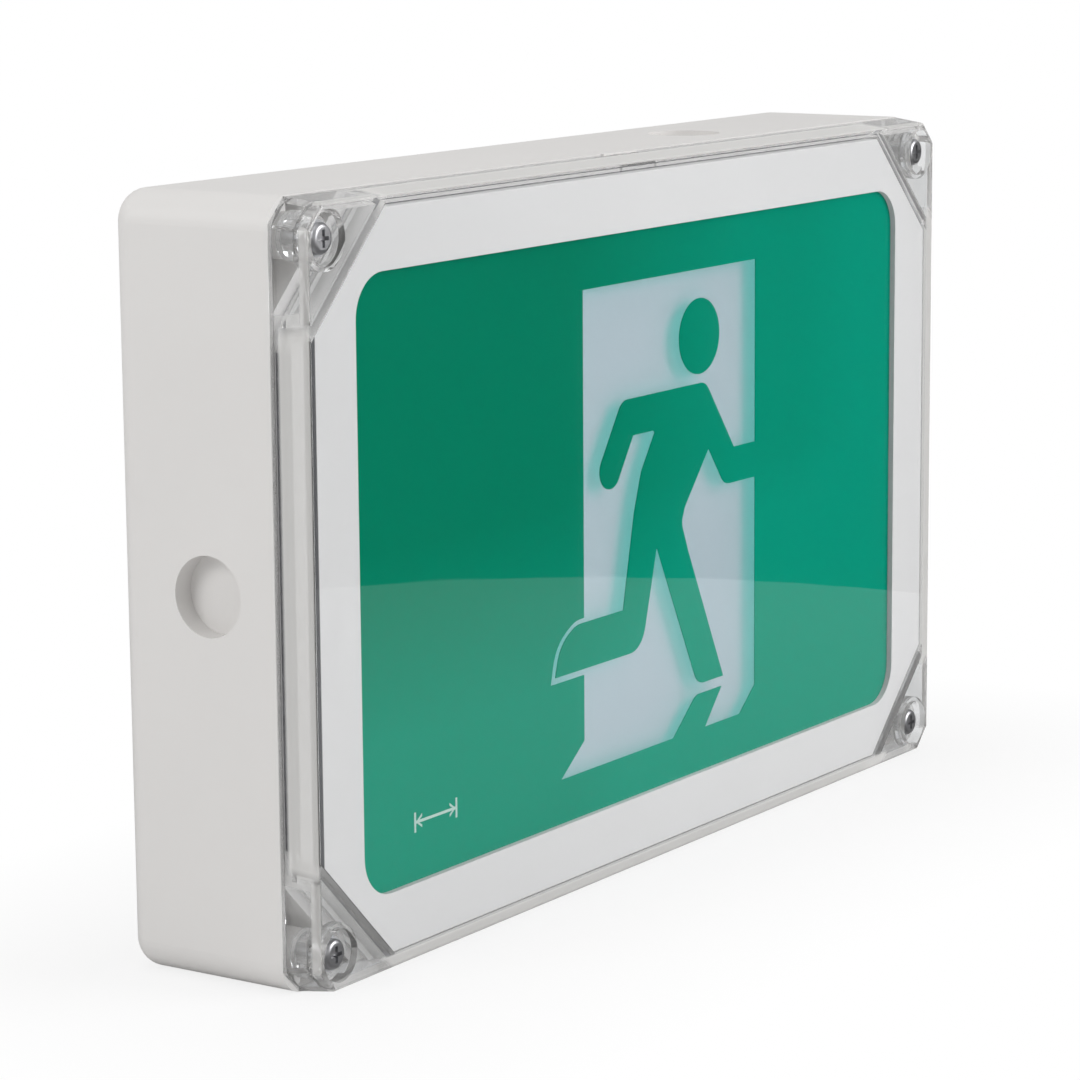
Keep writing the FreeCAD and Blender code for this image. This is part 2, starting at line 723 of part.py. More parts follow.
def legend_film():
    """The green field with the doorway cut out of it, and the figure left standing in it."""
    y0 = TRAY_BACK
    y1 = FILM_BACK
    figure = running_figure(y0, y1)
    doorway = sign_prism(DOORWAY, y0, y1)
    cut_out = doorway.fuse(sign_prism(FOOT_EDGE, y0, y1))
    cut_out = cut_out.cut(figure).cut(sign_prism(SHADOW, y0, y1))
    field = plate(y0, y1, GAP).cut(cut_out)
    (hx, hz), = sign_corners([HEAD])
    head = rod_y(hx, hz, HEAD_R * SIGN_H, y0, y1)
    return field.Solids + [head]


def distance_mark():
    """A small printed dimension line on the green field: two end ticks, a line and two barbs."""
    y1 = TRAY_BACK
    y0 = TRAY_BACK - MARK_T
    stroke = MARK_STROKE
    half = MARK_HALF
    tick = MARK_TICK
    x = -WINDOW_W / 2 + MARK_FROM_LEFT
    z = -WINDOW_H / 2 + MARK_FROM_BASE
    line = box(x - half, x + half, y0, y1, z - stroke / 2, z + stroke / 2)
    parts = [line]
    for s in (-1, 1):
        end = x + s * half
        parts.append(box(end, end - s * stroke, y0, y1, z - tick, z + tick))
        for t in (-1, 1):
            tip = end - s * stroke
            ring = [
                V(tip, y0, z), V(tip - s * tick, y0, z + t * tick * 0.7),
                V(tip - s * tick, y0, z + t * (tick * 0.7 - stroke)),
                V(tip - s * stroke, y0, z),
            ]
            parts.append(prism(Part.makePolygon(ring + ring[:1]), y0, y1))
    return fuse(parts)


def plate_spacer():
    """The thin frame that keeps the diffuser off the legend plate."""
    outer = plate(LEGEND_BACK, SPACER_BACK)
    return outer.cut(plate(LEGEND_BACK, SPACER_BACK, SPACER_W))


def retainer_places():
    """Middle of each plate clip and the way it reaches inwards."""
    places = []
    for x in (-RETAINER_X, 0.0, RETAINER_X):
        for s in (-1, 1):
            places.append((x, s * PLATE_HZ, 0, -s))
    for z in (-RETAINER_Z, RETAINER_Z):
        for s in (-1, 1):
            places.append((s * PLATE_HX, z, -s, 0))
    return places


def plate_retainer(x, z, dx, dz):
    """A spring clip hooked over the pocket wall on to the back of the diffuser."""
    seat = DIFFUSER_BACK + RETAINER_T
    half = RETAINER_W / 2
    out = GAP + POCKET_WALL
    leg = out + RETAINER_T
    if dz:
        grip = box(x - half, x + half, DIFFUSER_BACK, seat, z - dz * GAP / 2, z + dz * RETAINER_GRIP)
        top = box(x - half, x + half, seat, seat + RETAINER_T, z - dz * leg, z + dz * RETAINER_GRIP)
        hook = box(x - half, x + half, seat - SPACER_T, seat, z - dz * out, z - dz * leg)
    else:
        grip = box(x - dx * GAP / 2, x + dx * RETAINER_GRIP, DIFFUSER_BACK, seat, z - half, z + half)
        top = box(x - dx * leg, x + dx * RETAINER_GRIP, seat, seat + RETAINER_T, z - half, z + half)
        hook = box(x - dx * out, x - dx * leg, seat - SPACER_T, seat, z - half, z + half)
    return fuse([grip, top, hook])


# ---------------------------------------------------------------- lamps
def gear_tray():
    """The folded white steel tray that carries the lamp boards and hides the gear."""
    hx = GEAR_HX
    hz = GEAR_HZ
    tray = box(-hx, hx, -GEAR_BACK, GEAR_FRONT - GEAR_LIP, -hz, hz)
    inside = box(-hx + GEAR_T, hx - GEAR_T, GEAR_FRONT, GEAR_FRONT - GEAR_LIP, -hz + GEAR_T, hz - GEAR_T)
    tray = tray.cut(inside)
    for x, z in standoff_places():
        tray = tray.cut(rod_y(x, z, SMALL_SCREW_R + GAP, -GEAR_BACK, GEAR_FRONT))
    for x, z in board_screw_places():
        tray = tray.cut(rod_y(x, z, SMALL_SCREW_R + FIT, -GEAR_BACK, GEAR_FRONT))
    lead_x, lead_z = lead_hole()
    return tray.cut(rod_y(lead_x, lead_z, WIRE_PITCH, -GEAR_BACK, GEAR_FRONT))


def lead_hole():
    """Where the lamp leads pass through the gear tray."""
    return LEADS_X + 4 * WIRE_PITCH, TERMINAL_Z


def lamp_board(z):
    """One long lamp board."""
    board = box(-BOARD_W / 2, BOARD_W / 2, GEAR_FRONT, BOARD_FRONT, z - BOARD_H / 2, z + BOARD_H / 2)
    for screw_x, screw_z in board_screw_places():
        board = board.cut(rod_y(screw_x, screw_z, SMALL_SCREW_R + FIT, GEAR_FRONT, BOARD_FRONT))
    return board


def lamp_chips():
    """The white light-emitting packages on both boards."""
    chips = []
    half = LAMP_SIZE / 2
    for z in (-BOARD_Z, BOARD_Z):
        for i in range(LAMP_COUNT):
            x = BOARD_W * ((i + 0.5) / LAMP_COUNT - 0.5)
            chips.append(box(x - half, x + half, BOARD_FRONT, BOARD_FRONT - LAMP_T, z - half, z + half))
    return chips


def board_screw_places():
    """Between the packages, three screws to a board."""
    gaps = (2, LAMP_COUNT // 2, LAMP_COUNT - 2)
    return [(BOARD_W * (k / LAMP_COUNT - 0.5), z) for z in (-BOARD_Z, BOARD_Z) for k in gaps]


# ---------------------------------------------------------------- control gear
def driver_span():
    """Box limits of the control gear case."""
    x0 = DRIVER_LEFT
    z0 = DRIVER_Z - DRIVER_H / 2
    return x0, x0 + DRIVER_LENGTH, FLOOR, FLOOR - DRIVER_DEPTH, z0, z0 + DRIVER_H


def driver_ear_places():
    """Screw places in the control gear's two ears."""
    x0, x1, *_ = driver_span()
    return [(x0 - DRIVER_EAR / 2, DRIVER_Z), (x1 + DRIVER_EAR / 2, DRIVER_Z)]


def driver_case():
    """The lower half of the control gear's case, with a fixing ear at each end."""
    x0, x1, y0, y1, z0, z1 = driver_span()
    t = DRIVER_WALL
    case = box(x0, x1, y0, y1 + t, z0, z1).cut(box(x0 + t, x1 - t, y0 - t, y1, z0 + t, z1 - t))
    ears = box(x0 - DRIVER_EAR, x0, y0, y0 - 2 * t, DRIVER_Z - DRIVER_EAR, DRIVER_Z + DRIVER_EAR)
    ear2 = box(x1, x1 + DRIVER_EAR, y0, y0 - 2 * t, DRIVER_Z - DRIVER_EAR, DRIVER_Z + DRIVER_EAR)
    case = fuse([case, ears, ear2])
    for x, z in driver_ear_places():
        case = case.cut(rod_y(x, z, SMALL_SCREW_R + FIT, y0, y0 - 2 * t))
    mouth = WIRE_R + GAP
    for use in ("mains", "lamps", "battery", "button"):
        for x, y, z in driver_ports(use):
            case = case.cut(rod((x1 - 2 * t, y, z), (x1 + t, y, z), mouth))
    return case


def driver_ports(use):
    """Where one group of leads leaves the right-hand end of the case."""
    steps = {
        "mains": (3, 2),
        "lamps": (-0.5, 0.5),
        "battery": (-3, -2),
        "button": (-1.2, 0, 1.2),
    }
    depth = BUTTON_PORT_DEPTH if use == "button" else PORT_DEPTH
    return [(DRIVER_RIGHT, FLOOR - depth, DRIVER_Z + WIRE_PITCH * k) for k in steps[use]]


def driver_lid():
    """The case's lid, with vent slots."""
    x0, x1, y0, y1, z0, z1 = driver_span()
    lid = box(x0, x1, y1 + DRIVER_WALL, y1, z0, z1)
    slot = DRIVER_H * 0.3
    for i in range(6):
        x = (x0 + x1) / 2 + (i - 2.5) * WIRE_PITCH * 1.4
        lid = lid.cut(box(x, x + DRIVER_WALL, y1 + DRIVER_WALL, y1, DRIVER_Z - slot, DRIVER_Z + slot))
    return lid


def driver_inside():
    """Control board and the larger parts that stand on it."""
    x0, x1, y0, y1, z0, z1 = driver_span()
    t = DRIVER_WALL
    seat = y0 - t - PCB_RISE
    top = seat - PCB_T
    board = box(x0 + 2 * t, x1 - 3 * t, seat, top, z0 + t + GAP, z1 - t - GAP)
    posts = [
        rod_y(x, z, t, y0 - t, seat)
        for x in (x0 + 4 * t, x1 - 5 * t) for z in (z0 + 3 * t, z1 - 3 * t)
    ]
    room = DRIVER_DEPTH - PCB_RISE - PCB_T - 2 * t - LOOSE
    core_x = x0 + DRIVER_LENGTH * 0.3
    side = DRIVER_H * 0.27
    core = box(core_x - side, core_x + side, top, top - room, DRIVER_Z - side, DRIVER_Z + side)
    cans = []
    for f in (0.62, 0.74):
        cans.append(rod_y(x0 + DRIVER_LENGTH * f, DRIVER_Z, room * 0.36, top, top - room))
    return board, posts, core, cans


def driver_socket():
    """The lead connector strip at the right-hand end of the board."""
    x0, x1, y0, y1, z0, z1 = driver_span()
    t = DRIVER_WALL
    top = y0 - t - PCB_RISE - PCB_T
    length = WIRE_PITCH * 4
    strip = box(x1 - 3 * t - length / 2, x1 - 3 * t, top, y1 + t + LOOSE, z0 + 2 * t, z1 - 2 * t)
    return strip


# ---------------------------------------------------------------- battery
def battery_pack():
    """Cells in a row under one shrunk sleeve, necked a little where they meet."""
    axis = pack_axis()
    cell = PACK_LENGTH / CELLS
    pieces = []
    for i in range(CELLS):
        x = PACK_LEFT + i * cell
        barrel = rod((x, axis, PACK_Z), (x + cell, axis, PACK_Z), CELL_R)
        pieces.append(barrel.makeChamfer(CELL_CHAMFER, barrel.Edges[0:1] + barrel.Edges[2:3]))
    first = (PACK_LEFT + cell / 2, axis, PACK_Z)
    last = (PACK_LEFT + PACK_LENGTH - cell / 2, axis, PACK_Z)
    pieces.append(rod(first, last, CELL_R * 0.9))
    return fuse(pieces)


def battery_clip(x):
    """A strap over the pack with a foot each side on the base."""
    axis = pack_axis()
    r_in = CELL_R
    r_out = CELL_R + CLIP_T
    a = (x - CLIP_W / 2, axis, PACK_Z)
    b = (x + CLIP_W / 2, axis, PACK_Z)
    strap = rod(a, b, r_out).cut(rod(a, b, r_in))
    strap = strap.cut(box(a[0], b[0], axis, FLOOR, PACK_Z - r_out, PACK_Z + r_out))
    pieces = [strap]
    for s in (-1, 1):
        near = PACK_Z + s * r_in
        far = PACK_Z + s * r_out
        pieces.append(box(a[0], b[0], axis, FLOOR, near, far))
        pieces.append(box(a[0], b[0], FLOOR, FLOOR - CLIP_T, near, far + s * CLIP_W))
    clip = fuse(pieces)
    for foot_x, foot_z in clip_foot_places():
        clip = clip.cut(rod_y(foot_x, foot_z, SMALL_SCREW_R + FIT, FLOOR, FLOOR - CLIP_T))
    return clip


def clip_places():
    """Middle of each battery strap."""
    return [PACK_LEFT + PACK_LENGTH * f for f in (0.27, 0.73)]


def clip_foot_places():
    """Screw places in the straps' feet."""
    out = CELL_R + CLIP_T + CLIP_W / 2
    return [(x, PACK_Z + s * out) for x in clip_places() for s in (-1, 1)]


# ---------------------------------------------------------------- terminals and leads
def mains_terminal():
    """A three-way screw terminal block on the back wall."""
    x0 = TERMINAL_X - TERMINAL_L / 2
    z0 = TERMINAL_Z - TERMINAL_W / 2
    way = TERMINAL_L / 3
    front = FLOOR - TERMINAL_T
    mouth = z0 + TERMINAL_W
    port = terminal_port_y()
    slit = TERMINAL_SLIT / 2
    block = box(x0, x0 + TERMINAL_L, FLOOR, front, z0, mouth)
    for i in range(1, 3):
        x = x0 + way * i
        block = block.cut(box(x - slit, x + slit, FLOOR - TERMINAL_T / 2, front, z0, mouth))
    for i in range(3):
        x = x0 + way * (i + 0.5)
        block = block.cut(rod_y(x, TERMINAL_Z, way * 0.3, FLOOR - TERMINAL_T * 0.6, front))
        block = block.cut(rod((x, port, mouth), (x, port, mouth - TERMINAL_W * 0.25), WIRE_R + FIT))
    return block


def terminal_port_y():
    """Height of the terminal's wire ports off the wall, as a Y value."""
    return FLOOR - TERMINAL_T * 0.35


def terminal_screws():
    """Clamp screws of the terminal block."""
    x0 = TERMINAL_X - TERMINAL_L / 2
    way = TERMINAL_L / 3
    screws = []
    for i in range(3):
        x = x0 + way * (i + 0.5)
        y0 = FLOOR - TERMINAL_T * 0.6
        y1 = FLOOR - TERMINAL_T * 0.85
        screw = rod_y(x, TERMINAL_Z, way * 0.3 - FIT, y0, y1)
        slot = way * 0.06
        cut = box(x - way, x + way, y1, y1 + slot * 2, TERMINAL_Z - slot, TERMINAL_Z + slot)
        screws.append(screw.cut(cut))
    return screws


def lead(route):
    """A lead into the control gear: bends of one size, ending against the connector strip."""
    return wire_run(route, WIRE_R, 2 * WIRE_R)


def strip_x():
    """The connector strip's face, where the leads end."""
    return DRIVER_RIGHT - 3 * DRIVER_WALL


def mains_leads():
    """Two leads from the terminal block to the upper ports of the control gear."""
    way = TERMINAL_L / 3
    left = TERMINAL_X - TERMINAL_L / 2
    out = terminal_port_y()
    mouth = TERMINAL_Z + TERMINAL_W * 0.3
    leads = []
    for i, (_, y, z) in enumerate(driver_ports("mains")):
        x = left + way * (i + 0.5)
        leads.append(lead([(x, out, mouth), (x, out, z), (x, y, z), (strip_x(), y, z)]))
    return leads


def battery_leads():
    """Two leads from the right-hand end of the pack to the lower ports of the control gear."""
    axis = pack_axis()
    leads = []
    for i, (_, y, z) in enumerate(driver_ports("battery")):
        x = LEADS_X + WIRE_PITCH * (i + 1.5)
        low = PACK_Z + WIRE_PITCH * (0.5 - i)
        leads.append(lead([(PACK_RIGHT, axis, low), (x, axis, low), (x, y, z), (strip_x(), y, z)]))
    return leads


def lamp_leads():
    """Two leads from the control gear, through the gear tray, to the edges of the lamp boards."""
    hole_x, hole_z = lead_hole()
    front = GEAR_FRONT - 2 * WIRE_R
    leads = []
    for sign, (_, y, z) in zip((-1, 1), driver_ports("lamps")):
        x = hole_x + sign * 1.5 * WIRE_R
        stop = sign * (BOARD_Z - BOARD_H / 2)
        route = [(strip_x(), y, z), (x, y, z), (x, y, hole_z), (x, front, hole_z), (x, front, stop)]
        leads.append(lead(route))
    return leads


def button_leads():
    """Leads from the two switch tags and from the charge lamp to the control gear."""
    tag = well_z(BUSH_TOP + SWITCH_H + TAG_H)
    lamp = well_z(WALL + LENS_R * 3)
    quarter = SWITCH_SIZE / 4
    starts = [(BUTTON_X - quarter, tag), (BUTTON_X + quarter, tag), (LENS_X, lamp)]
    leads = []
    for (x, low), (_, y, z) in zip(starts, driver_ports("button")):
        bend = low + 3 * WIRE_PITCH
        route = [(x, -BUTTON_BACK, low), (x, -BUTTON_BACK, bend), (x, y, bend + WIRE_PITCH)]
        leads.append(lead(route + [(x, y, z), (strip_x(), y, z)]))
    return leads


# ---------------------------------------------------------------- seals and grommets
def entry_grommet():
    """A rubber membrane grommet that closes the rear cable entry."""
    lip = WALL * 0.6
    groove = rod_y(ENTRY_X, ENTRY_Z, ENTRY_R, -lip / 2, FLOOR)
    inner = rod_y(ENTRY_X, ENTRY_Z, ENTRY_R + WALL, FLOOR, FLOOR - lip)
    body = groove.fuse(inner)
    body = body.cut(rod_y(ENTRY_X, ENTRY_Z, ENTRY_R - WALL, FLOOR + lip / 2, FLOOR - lip))
    return body.removeSplitter()


def fixing_seal(x, z):
    """A rubber washer on the boss of a wall fixing hole."""
    y0 = FLOOR - FIXING_BOSS_H
    return tube_y(x, z, FIXING_BOSS_R - LOOSE, FIXING_R + GAP, y0, y0 - WALL / 2)


def screw_washer(x, z):
    """The soft washer under a cover screw's head."""
    return tube_y(x, z, WASHER_R, SCREW_R + GAP, HEAD_SEAT, CUP_FLOOR)


# ---------------------------------------------------------------- test button
def well_z(rise):
    """A level above the underside, as a Z value."""
    return -HZ + rise


def upright(x, r, low, high):
    """A cylinder along Z on the button's line, between two heights above the underside."""
    return rod((x, -BUTTON_BACK, well_z(low)), (x, -BUTTON_BACK, well_z(high)), r)


def button_bush():
    """The flanged, threaded bush that guides the plunger."""
    foot = RECESS_DEPTH - BUSH_FLANGE_T
    body = upright(BUTTON_X, BUSH_FLANGE_R, foot, RECESS_DEPTH)
    body = body.fuse(upright(BUTTON_X, BUSH_R, foot, BUSH_TOP))
    return body.cut(upright(BUTTON_X, BUTTON_R + FIT, foot, BUSH_TOP)).removeSplitter()


def button_nut():
    """The hexagon nut that holds the bush in the base."""
    low = RECESS_DEPTH + RECESS_FLOOR
    high = low + BUSH_FLANGE_T
    r = BUSH_FLANGE_R * 1.1
    ring = []
    for i in range(6):
        a = math.radians(60 * i)
        ring.append(V(BUTTON_X + r * math.cos(a), -BUTTON_BACK + r * math.sin(a), well_z(low)))
    nut = Part.Face(Part.makePolygon(ring + ring[:1])).extrude(V(0, 0, high - low))
    return nut.cut(upright(BUTTON_X, BUSH_R + FIT, low, high))


def test_plunger():
    """The plunger and the collar that stops it at the end of the bush."""
    body = upright(BUTTON_X, BUTTON_R, BUTTON_SINK, BUSH_TOP + GAP / 2)
    rim = [e for e in body.Edges if e.BoundBox.ZMax < well_z(BUTTON_SINK) + 1e-4]
    body = body.makeFillet(BUTTON_R * 0.2, rim)
    low = BUSH_TOP + GAP
    collar = upright(BUTTON_X, COLLAR_R, low, low + COLLAR_T)
    neck = upright(BUTTON_X, BUTTON_R, BUSH_TOP, low)
    nose = upright(BUTTON_X, SPRING_R - SPRING_WIRE * 2, low + COLLAR_T, low + COLLAR_T * 2)
    return fuse([body, neck, collar, nose])


def test_switch():
    """The switch body screwed on to the bush, hollow for the collar and its spring."""
    half = SWITCH_SIZE / 2
    y = -BUTTON_BACK
    low = well_z(BUSH_TOP)
    block = box(BUTTON_X - half, BUTTON_X + half, y - half, y + half, low, low + SWITCH_H)
    return block.cut(upright(BUTTON_X, COLLAR_R + GAP, BUSH_TOP, BUSH_TOP + CHAMBER))


def switch_tags():
    """The two contact tags on the back of the switch."""
    top = well_z(BUSH_TOP) + SWITCH_H
    y = -BUTTON_BACK
    tags = []
    for s in (-1, 1):
        x = BUTTON_X + s * SWITCH_SIZE / 4
        tags.append(box(x - TAG_T / 2, x + TAG_T / 2, y - TAG_W / 2, y + TAG_W / 2, top, top + TAG_H))
    return tags


def button_spring():
    """The coil that pushes the plunger back out."""
    low = BUSH_TOP + GAP + COLLAR_T + SPRING_WIRE + GAP / 3
    high = BUSH_TOP + CHAMBER - SPRING_WIRE - GAP / 3
    coil = Part.makeHelix((high - low) / SPRING_TURNS, high - low, SPRING_R)
    circle = Part.makeCircle(SPRING_WIRE, V(SPRING_R, 0, 0), V(0, 1, 0))
    spring = Part.Wire(coil.Edges).makePipeShell([Part.Wire([circle])], True, False)
    spring.translate(V(BUTTON_X, -BUTTON_BACK, well_z(low)))
    return spring


def charge_lens():
    """The charge lamp's lens, with a lip inside the base."""
    body = upright(LENS_X, LENS_R, GAP, WALL + LENS_R)
    rim = [e for e in body.Edges if e.BoundBox.ZMax < well_z(GAP) + 1e-4]
    body = body.makeFillet(LENS_R * 0.5, rim)
    return fuse([body, upright(LENS_X, LENS_R * 1.5, WALL, WALL + 1)])


def charge_lamp():
    """The small lamp behind the lens."""
    return upright(LENS_X, LENS_R, WALL + LENS_R, WALL + LENS_R * 3)


# ---------------------------------------------------------------- build
def screw_sites():
    """Place, seat and length of each small screw, grouped by what it holds."""
    ear = 2 * DRIVER_WALL
    thin = BOARD_T + GEAR_T + GAP
    posts = SMALL_SCREW_LENGTH - GAP
    return {
        "gear_tray_screws": [(x, z, GEAR_FRONT, posts) for x, z in standoff_places()],
        "lamp_board_screws": [(x, z, BOARD_FRONT, thin) for x, z in board_screw_places()],
        "driver_screws": [(x, z, FLOOR - ear, ear + WALL_BITE - GAP) for x, z in driver_ear_places()],
        "strap_screws": [
            (x, z, FLOOR - CLIP_T, CLIP_T + WALL_BITE - GAP) for x, z in clip_foot_places()
        ],
    }


def build():
    """Every piece, from the wall forwards."""
    cover_places = four(SCREW_X, SCREW_Z)
    fixing_places = four(FIXING_X, FIXING_Z)
    node("base_housing", base_housing())
    node("threaded_inserts", *[threaded_insert(x, z) for x, z in cover_places])
    node("entry_grommet", entry_grommet())
    node("fixing_seals", *[fixing_seal(x, z) for x, z in fixing_places])
    node("clear_cover", clear_cover())
    node("cover_gasket", cover_gasket())
    node("cover_screws", *[cover_screw(x, z) for x, z in cover_places])
    node("screw_washers", *[screw_washer(x, z) for x, z in cover_places])
    node("legend_tray", legend_tray())
    node("legend_film", *legend_film())
    node("distance_mark", distance_mark())
    node("legend_plate", plate(FILM_BACK, LEGEND_BACK))
    node("plate_spacer", plate_spacer())
    node("diffuser_plate", plate(SPACER_BACK, DIFFUSER_BACK))
    node("plate_retainers", *[plate_retainer(*p) for p in retainer_places()])
    node("gear_tray", gear_tray())
    node("lamp_board_upper", lamp_board(BOARD_Z))
    node("lamp_board_lower", lamp_board(-BOARD_Z))
    node("lamp_chips", *lamp_chips())
    node("driver_case", driver_case())
    node("driver_lid", driver_lid())
    board, posts, core, cans = driver_inside()
    node("driver_board", board)
    node("driver_posts", *posts)
    node("driver_transformer", core)
    node("driver_capacitors", *cans)
    node("driver_connector", driver_socket())
    node("battery_pack", battery_pack())
    node("battery_clips", *[battery_clip(x) for x in clip_places()])
    node("mains_terminal", mains_terminal())
    node("terminal_screws", *terminal_screws())
    node("mains_leads", *mains_leads())
    node("battery_leads", *battery_leads())
    node("lamp_leads", *lamp_leads())
    node("button_leads", *button_leads())
    node("button_bush", button_bush())
    node("button_nut", button_nut())
    node("test_plunger", test_plunger())
    node("test_switch", test_switch())
    node("switch_tags", *switch_tags())
    node("button_spring", button_spring())
    node("charge_lens", charge_lens())
    node("charge_lamp", charge_lamp())
    for name, sites in screw_sites().items():
        node(name, *[small_screw(*s) for s in sites])


if __name__ == "__main__":
    build()
    for name, shape in NODES.items():
        print(name, shape.isValid(), len(shape.Solids), round(shape.Volume))
        shape.exportStep("parts/" + name + ".step")
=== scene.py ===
"""Looks of a weatherproof wall exit light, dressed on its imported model.

Every size is in metres, in the model's own frame: the origin is the centre of the face that
lies on the wall, +X is right and +Z is up seen from the front, and the legend faces -Y.
"""
import json
import logging
import math
from dataclasses import dataclass, field
from enum import Enum
from typing import Any, Dict, List, Sequence, Tuple

import bmesh
import bpy
from mathutils import Matrix, Vector

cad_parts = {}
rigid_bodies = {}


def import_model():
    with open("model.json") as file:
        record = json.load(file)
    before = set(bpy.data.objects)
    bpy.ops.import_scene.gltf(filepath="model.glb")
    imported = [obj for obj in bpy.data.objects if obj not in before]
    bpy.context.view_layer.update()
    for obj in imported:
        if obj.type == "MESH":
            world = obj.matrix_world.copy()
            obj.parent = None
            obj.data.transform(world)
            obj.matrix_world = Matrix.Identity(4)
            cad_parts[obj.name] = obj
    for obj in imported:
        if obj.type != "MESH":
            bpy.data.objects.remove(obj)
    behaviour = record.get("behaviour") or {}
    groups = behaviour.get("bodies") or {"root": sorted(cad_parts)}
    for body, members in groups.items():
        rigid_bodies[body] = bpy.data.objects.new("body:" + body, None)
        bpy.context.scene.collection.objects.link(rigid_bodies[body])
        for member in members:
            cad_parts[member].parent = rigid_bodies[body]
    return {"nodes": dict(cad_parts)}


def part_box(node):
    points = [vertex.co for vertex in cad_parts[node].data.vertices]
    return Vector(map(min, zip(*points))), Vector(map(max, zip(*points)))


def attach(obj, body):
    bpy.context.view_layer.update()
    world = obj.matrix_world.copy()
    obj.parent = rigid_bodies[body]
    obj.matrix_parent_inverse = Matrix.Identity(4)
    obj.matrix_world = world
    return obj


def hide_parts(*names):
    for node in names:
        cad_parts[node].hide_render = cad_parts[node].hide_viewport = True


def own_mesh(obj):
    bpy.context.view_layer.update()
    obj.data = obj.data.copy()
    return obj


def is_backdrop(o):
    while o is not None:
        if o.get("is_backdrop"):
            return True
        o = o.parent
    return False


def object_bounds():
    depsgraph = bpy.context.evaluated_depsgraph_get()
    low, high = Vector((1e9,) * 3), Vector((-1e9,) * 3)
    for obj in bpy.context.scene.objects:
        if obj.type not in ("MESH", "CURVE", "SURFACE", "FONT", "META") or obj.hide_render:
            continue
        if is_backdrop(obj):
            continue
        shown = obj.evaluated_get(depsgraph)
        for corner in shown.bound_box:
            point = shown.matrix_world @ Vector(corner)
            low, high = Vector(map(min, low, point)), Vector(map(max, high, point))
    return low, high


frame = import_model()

log = logging.getLogger("exit_light")
Triple = Tuple[float, float, float]
Levels = Tuple[int, int, int]
Band = Tuple[float, float]
MM = 0.001
HALF_A_BOUNCE = 0.5


def tone(red: int, green: int, blue: int) -> Tuple[float, float, float, float]:
    """Turn a display colour into the linear colour that shaders use.

    Args:
        red: Red, from 0 to 255.
        green: Green, from 0 to 255.
        blue: Blue, from 0 to 255.

    Returns:
        Linear red, green and blue, with an alpha of 1.
    """
    parts = []
    for level in (red, green, blue):
        share = level / 255.0
        parts.append(share / 12.92 if share <= 0.04045 else ((share + 0.055) / 1.055) ** 2.4)
    return parts[0], parts[1], parts[2], 1.0


def shaded(colour: Sequence[float], share: float, lift: float = 0.0) -> Tuple[float, ...]:
    """Scale a linear colour, and lift it if asked.

    Args:
        colour: The linear colour, with its alpha.
        share: The factor on red, green and blue.
        lift: What is added to each of them.

    Returns:
        The new colour, with an alpha of 1.
    """
    return tuple(min(1.0, part * share + lift) for part in colour[:3]) + (1.0,)


# ---------------------------------------------------------------- shader building
class Term:
    """A number in a material, which takes Python's operators."""

    def __init__(self, graph: "Graph", socket: bpy.types.NodeSocket) -> None:
        """Wrap one output socket of a graph."""
        self.graph = graph
        self.socket = socket

    def _join(self, operation: str, first: Any, second: Any, clamp: bool = False) -> "Term":
        """Add one Math node.

        Args:
            operation: The Math node's operation.
            first: The first value or term.
            second: The second value or term.
            clamp: Whether the result is held between 0 and 1.

        Returns:
            The node's result.
        """
        settings = {"operation": operation, "use_clamp": clamp}
        node = self.graph.add("ShaderNodeMath", settings, {0: first, 1: second})
        return Term(self.graph, node.outputs[0])

    def __add__(self, other: Any) -> "Term":
        """Add."""
        return self._join("ADD", self, other)

    def __radd__(self, other: Any) -> "Term":
        """Add, reflected."""
        return self._join("ADD", other, self)

    def __sub__(self, other: Any) -> "Term":
        """Subtract."""
        return self._join("SUBTRACT", self, other)

    def __rsub__(self, other: Any) -> "Term":
        """Subtract, reflected."""
        return self._join("SUBTRACT", other, self)

    def __mul__(self, other: Any) -> "Term":
        """Multiply."""
        return self._join("MULTIPLY", self, other)

    def __rmul__(self, other: Any) -> "Term":
        """Multiply, reflected."""
        return self._join("MULTIPLY", other, self)

    def __truediv__(self, other: Any) -> "Term":
        """Divide."""
        return self._join("DIVIDE", self, other)

    def __rtruediv__(self, other: Any) -> "Term":
        """Divide, reflected."""
        return self._join("DIVIDE", other, self)

    def __pow__(self, other: float) -> "Term":
        """Raise to a power."""
        return self._join("POWER", self, other)

    def above(self, edge: float) -> "Term":
        """Give 1 where the number is above an edge."""
        return self._join("GREATER_THAN", self, edge)

    def top(self, other: Any) -> "Term":
        """Give the larger of two numbers."""
        return self._join("MAXIMUM", self, other)

    def clamped(self) -> "Term":
        """Hold the number between 0 and 1."""
        return self._join("ADD", self, 0.0, clamp=True)

    def size(self) -> "Term":
        """Give the number without its sign."""
        return self._join("ABSOLUTE", self, 0.0)


